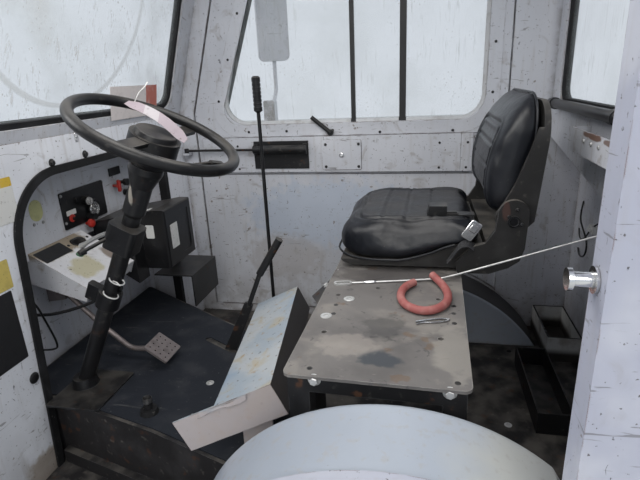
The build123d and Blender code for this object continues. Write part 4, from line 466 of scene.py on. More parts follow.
dress("seat_plastic", dark_paint("seat_cover_plastic", (0.026, 0.025, 0.024), 0.5, rust=0, dust=0.3, patches=(
    ((0.11, 0.055, 0.045), (468, -19, 735), (12, 20, 26), 0.6),)), "seat_base seat_shell")
dress("button_red", dark_paint("button_red", (0.42, 0.030, 0.022), 0.35, rust=0, dust=0.3))
dress("button_green", dark_paint("button_green", (0.03, 0.13, 0.06), 0.4, rust=0, dust=0.3))
dress("grey", dark_paint("knob_grey", (0.22, 0.22, 0.22), 0.45, rust=0, dust=0.3))
dress("rubber", rubber("black_rubber_aged", (0.010, 0.010, 0.011), 0.2, 0.15),
      "window_seals footwell_trim foot_switch")
dress("mat", rubber("mat_rubber_scuffed", (0.016, 0.019, 0.026), 0.35, 0.3), "floor_mat")
dress("vinyl", vinyl(), "seat_cushion seat_back")
dress("webbing", webbing_paint())
dress("steel", metal("pedal_steel_worn", (0.27, 0.235, 0.23), 0.5, 0.3, metallic=0.7), "brake_pedal")
dress("wire", metal("wire_steel_dull", (0.66, 0.66, 0.65), 0.38, 0.1, metallic=0.55), "pull_cable cable_eye")
dress("bright", metal("bright_steel", (0.74, 0.74, 0.73), 0.28, 0.1, metallic=0.7))
dress("chrome", metal("chrome_bright", (0.80, 0.80, 0.80), 0.12, 0.12), "door_strikers")
dress("deck", deck_paint(), "deck_plate")
dress("heel", heel_paint(), "heel_box")
dress("arch", arch_paint("arch_white_painted_light"), "wheel_arch_left")
dress("arch_far", arch_paint("arch_dark_top", True), "wheel_arch_right")
dress("tray", tray_paint(), "corner_tray")
dress("hose", hose_red(), "hose_grip")
dress("glass", glass("window_glass", 0.5), "rear_glass door_right_glass door_left_glass")
dress("screen", glass("windscreen_dirty", 1.0, arc=True), "windscreen_glass")

# Doors. The left one is a shorter right one, mirrored and swung open about its hinge
HINGE = Vector((-652, -744, 0))
OPEN = math.radians(-97)
DOOR_REAR = {"right": 567, "left": 446}
dress("sash_right", sash_paint("sash_frame_right", (1, 0, 0), 0, DOOR_REAR["right"]), "door_right_sash")
LEFT_RUN = (math.cos(OPEN), math.sin(OPEN), 0)
dress("sash_left", sash_paint("sash_frame_left", LEFT_RUN, HINGE.dot(LEFT_RUN) - HINGE.x, DOOR_REAR["left"]),
      "door_left_sash")

# Blank stock. Columns of a band: colour, axis, from, to
dress("label_white", printed("label_white_blank", (0.66, 0.66, 0.64), (0.62, 0.42, 0.05), 2, 843, 867))
dress("label_pale", printed("label_pale_blank", (0.66, 0.66, 0.64)))
dress("label_yellow", printed("label_yellow_blank", (0.60, 0.48, 0.14)))
dress("label_oval", printed("label_oval_blank", (0.52, 0.52, 0.26)))
dress("label_black", printed("label_black_blank", (0.020, 0.020, 0.022)))
dress("tag", printed("tag_film", (0.30, 0.25, 0.28), (0.40, 0.37, 0.39), 0, -352, -318))
dress("screen_sheet", printed("screen_sheet", (0.74, 0.68, 0.66), (0.50, 0.14, 0.10), 1, 420, 493))

# Cable, with its far end in the locker's wall, in place of the CAD cable
cable = cord_curve("cable_line", CABLE_LINE, 5)
cable.data.materials.append(PAINT["wire"])
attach(cable, "cab")
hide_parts("pull_cable")
line_length(cable)

# Wires and hoses. Rows: name, paint, diameter, stiffness, control points
for name, paint, diameter, stiffness, route in (
    ("wire_loop_front", "plastic", 6, "limp",
     [(-819, -196, 612), (-780, -206, 598), (-762, -226, 552), (-760, -186, 510), (-762, -166, 447),
      (-766, -136, 352), (-790, -124, 322), (-844, -120, 316)]),
    ("wire_loop_rear", "label_pale", 5, "limp",
     [(-819, -150, 604), (-784, -170, 585), (-774, -214, 520), (-778, -206, 440), (-800, -168, 396),
      (-844, -148, 388)]),
    ("column_hose", "rubber", 9, "medium",
     [(-478, -206, 566), (-500, -152, 560), (-548, -148, 537), (-610, -150, 500), (-700, -156, 470),
      (-770, -160, 456), (-844, -162, 456)]),
    ("locker_wire_high", "plastic", 6, "limp",
     [(829, 610, 604), (812, 580, 556), (810, 520, 528), (810, 460, 500), (811, 470, 446), (813, 540, 422),
      (829, 606, 430)]),
    ("locker_wire_low", "plastic", 5, "limp",
     [(829, 424, 580), (814, 452, 556), (814, 505, 496), (815, 566, 478), (829, 622, 500)]),
):
    line = cord_curve(name, route, diameter)
    line.data.materials.append(PAINT[paint])
    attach(line, "cab")
    line_length(line)


# Meshes of the added pieces; lengths in millimetres
def at(origin, normal, along=None):
    """Place whose z axis is the normal and whose x axis runs along."""
    z = Vector(normal).normalized()
    x = Vector(along) if along else (Vector((0, 0, 1)) if abs(z.z) < 0.9 else Vector((1, 0, 0)))
    x = (x - x.dot(z) * z).normalized()
    turn = Matrix((x, z.cross(x), z)).transposed().to_4x4()
    return Matrix.Translation(Vector(origin) * MM) @ turn @ Matrix.Scale(MM, 4)


def lifted(place, x=0.0, y=0.0, z=0.0):
    return place @ Matrix.Translation((x, y, z))


def out_of(place, x, y, z):
    """A point of a place, back in the shared frame's millimetres."""
    return place @ Vector((x, y, z)) / MM


def rounded_outline(width, height, corner, steps=5):
    points = []
    for turn, (sx, sy) in enumerate(((1, 1), (-1, 1), (-1, -1), (1, -1))):
        for k in range(steps + 1):
            angle = math.radians(90 * turn + 90 * k / steps)
            points.append((sx * (width / 2 - corner) + corner * math.cos(angle),
                           sy * (height / 2 - corner) + corner * math.sin(angle)))
    return points


def rounded_polygon(corners, steps=7):
    """Outline of a polygon with round corners. Rows: x, y, corner radius."""
    out = []
    for i, (x, y, radius) in enumerate(corners):
        here = Vector((x, y))
        back = (Vector(corners[i - 1][:2]) - here).normalized()
        ahead = (Vector(corners[(i + 1) % len(corners)][:2]) - here).normalized()
        half = back.angle(ahead) / 2
        middle = here + (back + ahead).normalized() * radius / math.sin(half)
        start = here + back * radius / math.tan(half) - middle
        stop = here + ahead * radius / math.tan(half) - middle
        for k in range(steps + 1):
            out.append(middle + start.lerp(stop, k / steps).normalized() * radius)
    return [tuple(p) for p in out]


def arc(points, steps=8):
    """Smooth line through a few points."""
    out = []
    ends = [points[0]] + list(points) + [points[-1]]
    for a, b, c, d in zip(ends, ends[1:], ends[2:], ends[3:]):
        a, b, c, d = Vector(a), Vector(b), Vector(c), Vector(d)
        for k in range(steps):
            t = k / steps
            out.append(0.5 * (2 * b + (c - a) * t + (2 * a - 5 * b + 4 * c - d) * t**2
                              + (3 * b - a - 3 * c + d) * t**3))
    out.append(Vector(points[-1]))
    return out


SHARP = math.radians(35)

# Profiles of small fasteners. Columns: radius, height
PAN_HEAD = [(5.0, 0), (5.0, 0.6), (4.2, 2.2), (2.6, 3.0), (1.9, 3.1), (1.6, 1.9), (0.2, 1.7)]
WASHER = [(11, 0), (11, 1.0), (10.3, 1.5), (5.2, 1.5), (4.8, 0.2), (0.2, 0.2)]


class Shape:
    """Collects several solids in one mesh."""

    def __init__(self):
        self.mesh = bmesh.new()

    def rings(self, rings, place=Matrix.Scale(MM, 4), closed=True):
        """Skin over rings of points, each a list of the same count; ends are capped when closed."""
        rows = [[self.mesh.verts.new(place @ Vector(p)) for p in ring] for ring in rings]
        count = len(rows[0])
        for low, high in zip(rows, rows[1:]):
            for i in range(count):
                j = (i + 1) % count
                self.mesh.faces.new((low[i], low[j], high[j], high[i]))
        if closed:
            self.mesh.faces.new(list(reversed(rows[0])))
            self.mesh.faces.new(rows[-1])
        return self

    def lathe(self, profile, place, steps=20):
        """Rows of the profile: radius, height."""
        turns = [2 * math.pi * i / steps for i in range(steps)]
        return self.rings([[(r * math.cos(a), r * math.sin(a), h) for a in turns] for r, h in profile], place)

    def slab(self, outline, thick, place, bevel):
        """Flat piece of an outline, counter-clockwise, with a bevelled top edge."""
        foot = [Vector((*p, 0)) for p in outline]
        centre = sum(foot, Vector()) / len(foot)
        top = []
        for p in foot:
            inwards = centre - p
            p = p + inwards * min(0.5, bevel * 1.4 / max(inwards.length, 0.01))
            top.append((p.x, p.y, thick))
        return self.rings([foot, [(*p, thick - bevel) for p in outline], top], place)

    def rounded(self, width, height, corner, thick, place, bevel=0.2, steps=5):
        return self.slab(rounded_outline(width, height, corner, steps), thick, place, bevel)

    def rim(self, outer, inner, heights, place):
        """Flat frame between two outlines of the same count. Heights: outer edge, crest, inner edge."""
        crest = [((ox + ix) / 2, (oy + iy) / 2) for (ox, oy), (ix, iy) in zip(outer, inner)]
        loops = [(outer, 0), (outer, heights[0]), (crest, heights[1]), (inner, heights[2]), (inner, 0), (outer, 0)]
        self.rings([[(*p, h) for p in loop] for loop, h in loops], place, closed=False)
        bmesh.ops.remove_doubles(self.mesh, verts=self.mesh.verts, dist=1e-6)
        return self

    def tube(self, points, radius, steps=10):
        """Round bar along points."""
        points = [Vector(p) for p in points]
        rows = []
        side = None
        for i, point in enumerate(points):
            ahead = (points[min(i + 1, len(points) - 1)] - points[max(i - 1, 0)]).normalized()
            side = ahead.orthogonal() if side is None else side
            side = (side - side.dot(ahead) * ahead).normalized()
            other = ahead.cross(side)
            size = radius(i / (len(points) - 1)) if callable(radius) else radius
            rows.append([point + size * (math.cos(a) * side + math.sin(a) * other)
                         for a in (2 * math.pi * k / steps for k in range(steps))])
        return self.rings(rows)

    def pan(self, place, size=1.0):
        return self.lathe([(r * size, h * size) for r, h in PAN_HEAD], place, 14)

    def hexagon(self, place, across, high, washer):
        """Hexagon head with a chamfered top on a washer."""
        self.lathe([(washer, 0), (washer, 1.2), (washer - 0.6, 1.6), (0.2, 1.6)], place)
        turns = [math.radians(60 * k + 12) for k in range(6)]
        outline = [(across / math.sqrt(3) * math.cos(a), across / math.sqrt(3) * math.sin(a)) for a in turns]
        return self.slab(outline, high, lifted(place, z=1.6), 0.9)

    def piece(self, name, paint, body="cab", slot=None):
        bmesh.ops.recalc_face_normals(self.mesh, faces=self.mesh.faces)
        for edge in self.mesh.edges:
            if len(edge.link_faces) == 2 and edge.calc_face_angle(0) > SHARP:
                edge.smooth = False
        for face in self.mesh.faces:
            face.smooth = True
        data = bpy.data.meshes.new(name)
        self.mesh.to_mesh(data)
        self.mesh.free()
        data.materials.append(PAINT[paint])
        made = object_of(data, name)
        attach(made, body)
        return made


SWUNG = (Matrix.Translation(HINGE * MM) @ Matrix.Rotation(OPEN, 4, "Z")
         @ Matrix.Translation(-HINGE * MM) @ Matrix.Scale(-1, 4, (0, 1, 0)))
INNER_SKIN = 694.9
OUTER_SKIN = 730.1
# Along the door, from its zero or in from its rear edge
SEAM_FRONT, SEAM_INSET = -540, 30
HANDLE_INSET, HANDLE_Z = 95, 700


def window_outline(grow, shift):
    """Outline of a door's window in x and z, grown outwards."""
    low, high, rear = 889 - grow, 1476 + grow, 488 + grow + shift
    front, lean = -541 - 1.06 * grow, 0.35
    return rounded_polygon([(front + lean * (low - 889), low, 62 + grow), (rear, low, 88 + grow),
                            (rear, high, 62 + grow), (front + lean * (high - 889), high, 62 + grow)])


for side, swing in (("right", Matrix.Identity(4)), ("left", SWUNG)):
    body = "door_" + side
    rear = DOOR_REAR[side]
    shift = rear - DOOR_REAR["right"]
    # Places on the two skins: x along the door, y up; x is negative on the outside
    inward = swing @ at((0, INNER_SKIN, 0), (0, -1, 0), (1, 0, 0))
    outward = swing @ at((0, OUTER_SKIN, 0), (0, 1, 0), (-1, 0, 0))
    Shape().rim(window_outline(46, shift), window_outline(0, shift), (1.6, 2.4, 5.0), inward).piece(
        f"window_flange_{side}", "flange", body)
    gasket_edges = [[(-x, z) for x, z in window_outline(grow, shift)] for grow in (12, -6)]
    Shape().rim(*gasket_edges, (2.0, 5.0, 2.0), outward).piece(f"window_gasket_{side}", "rubber", body)

    # Screws. Rows: height of what carries them, size, whether they move with the rear edge, places in x and z
    screws = Shape()
    for height, size, moves, places in (
        (2.2, 1.0, True, ((107, 851), (376, 851), (-76, 862), (-262, 862), (-420, 862), (509, 982), (509, 1150),
                          (509, 1320), (-535, 985), (-480, 1139), (-425, 1300), (-300, 1500), (-60, 1500),
                          (180, 1500), (400, 1500))),
        (11.9, 0.9, True, ((432, 807), (429, 714), (-470, 807), (-470, 714), (330, 807), (330, 714))),
        (14.9, 1.15, False, ((-105, 721), (-105, 808), (25, 721), (25, 808))),
    ):
        for x, z in places:
            screws.pan(lifted(inward, x + shift * (moves and x > -300), z, height), size)
    screws.piece(f"door_screws_{side}", "plastic", body)
    plate, wide = ([(x - 40, z + 764) for x, z in rounded_outline(*size)] for size in ((150, 112, 7), (153, 115, 8.5)))
    seam = Shape().rim(wide, plate, (0.3, 0.7, 0.6), lifted(inward, z=11.9))
    seam_end = rear - SEAM_INSET
    for z in (840, 690):
        middle = lifted(inward, (SEAM_FRONT + seam_end) / 2, z)
        seam.rounded(seam_end - SEAM_FRONT, 1.8, 0.8, 0.5, middle, 0.1, 2)
    seam.piece(f"door_seams_{side}", "plastic", body)
    Shape().lathe([(8.6, 0), (8.6, 0.6), (7.4, 1.3), (5.2, 1.3), (4.8, 0.7), (1.4, 0.7), (1.3, 0.2), (0.2, 0.2)],
                  lifted(inward, -42.5, 767, 17.9), 24).piece(f"lock_barrel_{side}", "chrome", body)
    handle_at = lifted(outward, HANDLE_INSET - rear, HANDLE_Z)
    Shape().rounded(120, 46, 12, 5, handle_at, 2).rounded(84, 22, 9, 15, lifted(handle_at, -6, 0, 4.5), 4).piece(
        f"door_handle_{side}", "chrome", body)


# Seat: cushion and back as swollen, sewn forms
VOXEL_M = 0.008
PRESSURE = 5
CLOTH_FRAMES = 20


def pillow_loop(low, high, radii, inset, steps=8, between=8):
    """Round-cornered loop with points along its straight sides too; radii start at the high corner."""
    middle = Vector(low).lerp(Vector(high), 0.5)
    turned = []
    for turn, (corner, radius) in enumerate(zip(
            ((high[0], high[1]), (low[0], high[1]), (low[0], low[1]), (high[0], low[1])), radii)):
        radius = max(4, radius - 0.5 * inset)
        x, y = (v + (inset + radius) * (1 if v < mid else -1) for v, mid in zip(corner, middle))
        for k in range(steps + 1):
            angle = math.radians(90 * turn + 90 * k / steps)
            turned.append((x + radius * math.cos(angle), y + radius * math.sin(angle)))
    loop = []
    for i, (x, y) in enumerate(turned):
        loop.append((x, y))
        if i % (steps + 1) == steps:
            nx, ny = turned[(i + 1) % len(turned)]
            loop += [(x + (nx - x) * k / between, y + (ny - y) * k / between) for k in range(1, between)]
    return loop


def evaluated(piece):
    bpy.context.view_layer.update()
    return bpy.data.meshes.new_from_object(piece.evaluated_get(bpy.context.evaluated_depsgraph_get()))


def modified(piece, kind, **settings):
    """Puts one modifier on a piece and applies it."""
    modifier = piece.modifiers.new(kind.lower(), kind)
    for key, value in settings.items():
        setattr(modifier, key, value)
    data = evaluated(piece)
    piece.modifiers.remove(modifier)
    piece.data = data


def swell(shape, name, cap, held):
    """Remeshes the form and lets cloth swell it; points that held() names stay where they are."""
    bmesh.ops.recalc_face_normals(shape.mesh, faces=shape.mesh.faces)
    data = bpy.data.meshes.new(name)
    shape.mesh.to_mesh(data)
    shape.mesh.free()
    piece = object_of(data, name)
    modified(piece, "REMESH", mode="VOXEL", voxel_size=VOXEL_M)
    modified(piece, "SMOOTH", factor=0.5, iterations=4)
    start = [v.co.copy() for v in piece.data.vertices]
    group = piece.vertex_groups.new(name="held")
    group.add([i for i, co in enumerate(start) if held(co / MM)], 1, "REPLACE")
    cloth = piece.modifiers.new("cloth", "CLOTH")
    for key, value in dict(
            quality=4, use_pressure=True, uniform_pressure_force=PRESSURE, tension_stiffness=18,
            compression_stiffness=18, bending_stiffness=6, vertex_group_mass="held").items():
        setattr(cloth.settings, key, value)
    cloth.settings.effector_weights.gravity = 0
    cloth.point_cache.frame_start = 1
    cloth.point_cache.frame_end = CLOTH_FRAMES
    for step in range(1, CLOTH_FRAMES + 1):
        bpy.context.scene.frame_set(step)
    swollen = evaluated(piece)
    for vertex, was, now in zip(piece.data.vertices, start, swollen.vertices):
        move = now.co - was
        vertex.co = was + move * min(1, cap * MM / max(move.length, 1e-9))
    piece.modifiers.remove(cloth)
    piece.vertex_groups.clear()
    bpy.context.scene.frame_set(1)
    modified(piece, "SMOOTH", factor=0.5, iterations=14)
    return piece


def sew(piece, rule):
    """Subdivides once, then moves each point along its normal by rule(point, normal), in millimetres."""
    modified(piece, "SUBSURF", levels=1)
    vertices = piece.data.vertices
    moves = [v.normal * rule(v.co / MM, v.normal) * MM for v in vertices]
    for vertex, move in zip(vertices, moves):
        vertex.co += move
    for polygon in piece.data.polygons:
        polygon.use_smooth = True
    piece.data.materials.clear()
    piece.data.materials.append(PAINT["vinyl"])


def groove(distance, width, depth):
    """Sewn channel: a narrow valley with a little puff on both sides."""
    t = abs(distance) / width
    return -depth * math.exp(-t * t) + 0.35 * depth * math.exp(-((t - 2.2) ** 2))


def loop_distance(x, y, low, high, radius):
    """Signed distance of a point from a round-cornered rectangle, negative inside."""
    qx = abs(x - (low[0] + high[0]) / 2) - (high[0] - low[0]) / 2 + radius
    qy = abs(y - (low[1] + high[1]) / 2) - (high[1] - low[1]) / 2 + radius
    return math.hypot(max(qx, 0), max(qy, 0)) + min(max(qx, qy), 0) - radius


def panel(inner, seam, sink, channels):
    """A sewn panel's seam, its sunk middle and its channels, from the distances of a point to them."""
    move = groove(inner, 5, seam)
    lip, slope = 4, 20
    if inner < -lip:
        move -= sink * min(1, (-inner - lip) / slope)
        for distance in channels:
            move += groove(distance, 4.5, 3.5) * min(1, -inner / 14)
    return move


def wrinkles(p, coarse, fine, *scales):
    """Fine, shallow unevenness: two noises of the point, each stretched by a row of scales."""
    return sum(depth * noise.noise(Vector([v * k for v, k in zip(p, scale)]))
               for depth, scale in zip((coarse, fine), scales))


def along_line(line, at_value, column=1):
    """Value of a column at a place of the first one, straight between the rows."""
    for a, b in zip(line, line[1:]):
        if at_value <= b[0]:
            return a[column] + (b[column] - a[column]) * max(0, at_value - a[0]) / (b[0] - a[0])
    return line[-1][column]


# Columns: x, height of the pan
PAN_LINE = [(56, 588), (224, 588), (290, 608), (345, 634), (425, 638)]
CUSHION_EDGE = ((36, 2), (424, 478), (40, 120, 120, 40))
# Columns: height, x of the front face, x of the rear face
BACK_LINE = [(708, 436, 521), (760, 425, 526), (820, 427, 531), (895, 447, 537), (950, 472, 540), (990, 498, 541),
             (1004, 512, 541)]
BACK_EDGE = ((13, 708), (467, 1003), (100, 100, 46, 46))


def pan_height(x):
    return along_line(PAN_LINE, x)


TOP_Z, NOSE_RUN, NOSE_RISE, CROWN, HALF_WIDTH = 660, 120, 18, 5, 240


def cushion_top(x, y):
    """Rises behind the rounded nose, and is crowned from side to side."""
    nose = min(1, max(0, (x - CUSHION_EDGE[0][0]) / NOSE_RUN))
    across = (y - HALF_WIDTH) / HALF_WIDTH
    return TOP_Z + NOSE_RISE * math.sin(nose * math.pi / 2) + CROWN * math.cos(across * math.pi / 2)


# Columns: inset, share of the height from the pan up
cushion = Shape().rings(
    [[(x, y, pan_height(x) + 2 + t * (cushion_top(x, y) - pan_height(x))) for x, y in pillow_loop(*CUSHION_EDGE, inset)]
     for inset, t in ((70, 0), (18, 0), (7, 0.08), (2, 0.35), (2, 0.65), (8, 0.88), (24, 1), (60, 1.02), (110, 1.0))])
seat_cushion = swell(cushion, "seat_cushion_sewn", 12, lambda p: p.z < pan_height(p.x) + 6)


def cushion_seams(p, normal):
    move = wrinkles(p, 0.9, 0.5, (0.030, 0.012, 0.03), (0.09, 0.05, 0.09))
    if normal.z > 0.15:
        move += panel(loop_distance(p.x, p.y, (96, 62), (470, 418), 60), 6.5, 3.5,
                      [p.x - line - 0.02 * (p.y - 240) for line in (170, 232, 300)])
    return move


sew(seat_cushion, cushion_seams)
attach(seat_cushion, "cab")
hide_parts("seat_cushion")

# Piping along the cushion's lower edge, from rear corner to rear corner round the nose
Shape().tube([(x, y, pan_height(x) + 5) for x, y in pillow_loop(*CUSHION_EDGE, 1.5) if x < 372], 3.0, 8).piece(
    "cushion_piping", "vinyl")


def rear_face(z):
    return along_line(BACK_LINE, z, 2)


# Columns: inset, share of the thickness from the rear face forwards
back = Shape().rings(
    [[(rear_face(z) + t * (along_line(BACK_LINE, z) - rear_face(z)), y, z) for y, z in pillow_loop(*BACK_EDGE, inset)]
     for inset, t in ((70, 0.02), (14, 0.02), (4, 0.10), (0, 0.3), (1, 0.62), (8, 0.86), (26, 0.98), (60, 1),
                      (110, 1))])
seat_back = swell(back, "seat_back_sewn", 10, lambda p: p.x > rear_face(p.z) - 6)


def back_seams(p, normal):
    move = wrinkles(p, 0.8, 0.4, (0.03, 0.012, 0.02), (0.09, 0.06, 0.06))
    if normal.x < -0.12:
        move += panel(loop_distance(p.y, p.z, (74, 690), (406, 930), 44), 7, 4,
                      [p.z - line for line in (770, 826, 880)])
    return move


sew(seat_back, back_seams)
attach(seat_back, "seat_back")
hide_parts("seat_back")
edge_line = pillow_loop(*BACK_EDGE, 1.5)
Shape().tube([(rear_face(z) - 12, y, z) for y, z in edge_line + edge_line[:1]], 3.0, 8).piece(
    "back_piping", "vinyl", "seat_back")


# Small pieces, set on the CAD surfaces by rays in these directions
FORE, AFT, ACROSS, DOWN = (-1, 0, 0), (1, 0, 0), (0, 1, 0), (0, 0, -1)
LABEL = 0.8  # thickness of a label
trees = {}


def landing(start, towards, names, along=None):
    """Place on the first surface that a ray meets from its start point, z away from the surface."""
    towards = Vector(towards).normalized()
    found = []
    for name in names.split():
        if name not in trees:
            mesh = nodes[name].data
            trees[name] = BVHTree.FromPolygons([v.co for v in mesh.vertices], [p.vertices[:] for p in mesh.polygons])
        where, normal, _, away = trees[name].ray_cast(Vector(start) * MM, towards)
        if where is not None:
            found.append((away, where, normal))
    _, where, normal = min(found, key=lambda hit: hit[0])
    return at(where / MM, normal if normal.dot(towards) < 0 else -normal, along)


def on_dash(y, z, names="dash_panel dash_instruments"):
    return landing((-700, y, z), FORE, names)


def on_deck(x, y, along=None):
    return landing((x, y, 700), DOWN, "deck_plate", along)


# Bulkhead: bolts, plug and blank labels
trim = Shape()
for y, z in ((-71, 873), (68, 875)):
    trim.hexagon(landing((-600, y, z), FORE, "front_bulkhead"), 13, 6, 11)
trim.lathe([(15, 0), (15, 1.5), (12, 4.5), (6, 6), (0.3, 6.3)],
           landing((-600, -297, 350), FORE, "front_bulkhead"), 24)
trim.piece("bulkhead_bolts", "plastic")
# Rows: name, paint, start of the ray, node, width, height, corner, steps
for name, paint, start, on, width, high, corner, steps in (
    ("label_upper", "label_white", (-600, -259, 811), "front_bulkhead", 109, 82, 3, 5),
    ("label_middle", "label_yellow", (-600, -328, 641), "front_bulkhead", 73, 85, 3, 5),
    ("label_lower", "label_black", (-600, -348, 507), "front_bulkhead", 185, 104, 3, 5),
    ("label_oval", "label_oval", (-700, -45, 731), "dash_panel", 62, 50, 24.9, 8),
):
    Shape().rounded(width, high, corner, LABEL, landing(start, FORE, on), 0.2, steps).piece(name, paint)

# Dash: screws and a rotary switch with a ridged skirt, then a dial with its marks and needle
ON_HEATER = "dash_panel heater_box dash_instruments"
dash = Shape()
for y, z in ((-63, 694), (-28, 692), (58, 748), (58, 661), (268, 748), (268, 661)):
    dash.pan(on_dash(y, z))
knob_at = on_dash(148, 712)
dash.lathe([(13, 0), (13, 2.5), (11, 3.5), (10, 9), (9.2, 11), (0.3, 11.4)], knob_at, 26)
for k in range(13):
    turn = 2 * math.pi * k / 13
    dash.rounded(1.8, 1.8, 0.5, 9, lifted(knob_at, 10.2 * math.cos(turn), 10.2 * math.sin(turn)), 0.5, 2)
dash.rounded(14, 2.4, 1, 2.2, lifted(knob_at, 3, 0, 11.2), 0.6, 2).piece("dash_controls", "grey")
dial_at = on_dash(187, 675)
Shape().lathe([(24, 0), (24, 5), (22.5, 6.5), (20.5, 6.5), (19.8, 3.2), (17.8, 3.0), (17.6, 3.4), (16.8, 3.4),
               (16.6, 3.0), (0.3, 3.0)], dial_at, 32).piece("dial_bezel", "chrome")
marks = Shape()
for k in range(9):
    tick = dial_at @ Matrix.Rotation(math.radians(-120 + 30 * k), 4, "Z")
    marks.rounded(4, 1, 0.4, 0.5, lifted(tick, 13.6, 0, 3.1), 0.1, 2)
marks.rounded(15, 1.4, 0.5, 0.8, lifted(dial_at @ Matrix.Rotation(0.7, 4, "Z"), 5, 0, 3.6), 0.2, 2)
marks.lathe([(2.6, 0), (2.6, 1.6), (1.6, 2.2), (0.2, 2.3)], lifted(dial_at, z=3.2), 14)
marks.piece("dial_marks", "label_pale")
Shape().rounded(16, 44, 2, LABEL, on_dash(89, 689), 0.2, 3).piece("dash_blank_label", "label_pale")
red = Shape().lathe([(12.5, 0), (12.5, 3.2), (10.5, 4.2), (8.8, 4.2), (8.2, 2.2), (0.3, 2.0)], on_dash(87, 671), 24)
red.lathe([(7, 0), (7, 10), (14, 13), (15.5, 18), (14, 23), (9, 26), (0.3, 27)],
          on_dash(155, 635, "console dash_panel dash_instruments"), 26)
pull_at = on_dash(330, 722, ON_HEATER)
red.lathe([(5, 0), (5, 14), (8, 16), (8, 19), (5, 22), (0.3, 22.5)], pull_at, 18)
red.rounded(44, 13, 6, 9, lifted(pull_at, z=20), 3, 4).piece("red_controls", "button_red")
Shape().lathe([(11, 0), (11, 2), (8, 4), (8, 12), (10, 14), (10, 20), (8, 23), (0.3, 23.5)],
              on_dash(390, 685, ON_HEATER)).piece("pull_knob", "plastic")

# Console top: blank label, a button and a recess with a dark rim
label_at, button_at, recess_at = (
    landing(start, (-0.50, 0, -0.87), "console", ACROSS)
    for start in ((-735, -48, 700), (-690, 6, 680), (-735, 60, 698)))
Shape().rounded(110, 50, 3, LABEL, label_at).piece("label_console", "label_black", slot="black_plastic")
Shape().lathe([(11, 0), (11, 3), (9.5, 4.2), (7.6, 4.2), (7.2, 6), (6.4, 7.2), (0.3, 7.4)], button_at, 22).piece(
    "console_button", "button_green")
rimmed = Shape().rim(rounded_outline(58, 34, 16.9, 7), rounded_outline(48, 24, 11.9, 7), (1.2, 2.4, 1.2), recess_at)
rimmed.rounded(50, 26, 12.9, 0.5, recess_at, 0.1, 7)
rimmed.pan(lifted(recess_at, -44), 0.9).pan(lifted(recess_at, 44), 0.9).piece("console_socket_rim", "plastic")

# Heater: blank label and pale tape
Shape().rounded(84, 48, 3, LABEL, landing((-450, 232, 573), FORE, "heater_box")).piece("label_heater", "label_pale")
tape = Shape().rounded(66, 34, 5, 0.6, landing((-646, 212, 760), DOWN, "heater_box"))
tape.rounded(46, 30, 5, 0.6, landing((-609, 60, 599), ACROSS, "heater_box")).piece("heater_tape", "label_pale")

# Floor mat: washer and screw, worn slot; spring of the foot switch
ON_MAT = "floor_mat platform"
washer_at = landing((-301, -133, 400), DOWN, ON_MAT)
Shape().lathe(WASHER, washer_at, 24).pan(washer_at, 1.3).piece("mat_fasteners", "wire")
Shape().rounded(92, 9, 4.4, 0.7, landing((-369, 83, 420), DOWN, ON_MAT, (0.84, -0.53, 0)), 0.2, 6).piece(
    "mat_slot", "plastic", slot="mat_rubber")
spring_at = landing((-406, -275, 420), DOWN, "foot_switch floor_mat")
coil = [out_of(spring_at, 11 * math.cos(a * 0.52), 11 * math.sin(a * 0.52), 1.2 + a * 0.22) for a in range(72)]
Shape().tube(coil, 1.3, 8).piece("switch_spring", "plastic")

# Deck: washers, bolts, holes, the bright clip of the cable and its ferrule
deck = Shape()
for x, y in ((107, -175), (69, -266)):
    deck.lathe([(13, 0), (13, 1.2), (12.2, 1.8), (6.2, 1.8), (5.8, 0.3), (0.2, 0.3)], on_deck(x, y), 26)
for x, y in ((89, -494), (323, -493)):
    deck.hexagon(landing((x, y - 80, 549), ACROSS, "deck_frame deck_plate"), 14, 8, 12)
for x, y, z in ((22, 60, 552), (-2, 8, 535)):
    deck.hexagon(landing((x - 120, y - 56, z), AFT, "deck_frame deck_plate seat_base"), 12, 5, 9)
deck.piece("deck_bolts", "wire")
# Holes: black cups on the deck, painted shade standing in for the openings
holes = Shape()
for x, y in ((81, -209), (83, -253), (168, -106), (343, -223), (345, -187), (342, -268), (336, -480), (77, -469)):
    holes.lathe([(5.4, 0), (5.4, 0.35), (4.4, 0.35), (4.2, 0.12), (0.2, 0.12)], on_deck(x, y), 16)
holes.piece("deck_holes", "plastic")
clip_at = on_deck(300, -266, (0.9, 0.3, 0))
bent = arc([(-38, 5, 2.2), (-10, 7, 2.2), (20, 6, 2.2), (34, 0, 2.2), (20, -6, 2.2), (-6, -6, 2.4),
            (-24, -2, 2.6), (-40, -7, 2.2)])
Shape().tube([out_of(clip_at, *q) for q in bent], 1.8).piece("cable_clip_pin", "chrome", slot="wire_steel")
ahead = (Vector(CABLE_LINE[1]) - Vector(CABLE_LINE[0])).normalized()
Shape().tube([Vector(CABLE_LINE[0]) + ahead * (8 + t) for t in range(0, 31, 3)],
             lambda t: 4.6 - 1.2 * abs(2 * t - 1) ** 6, 16).piece("cable_ferrule", "chrome", slot="wire_steel")

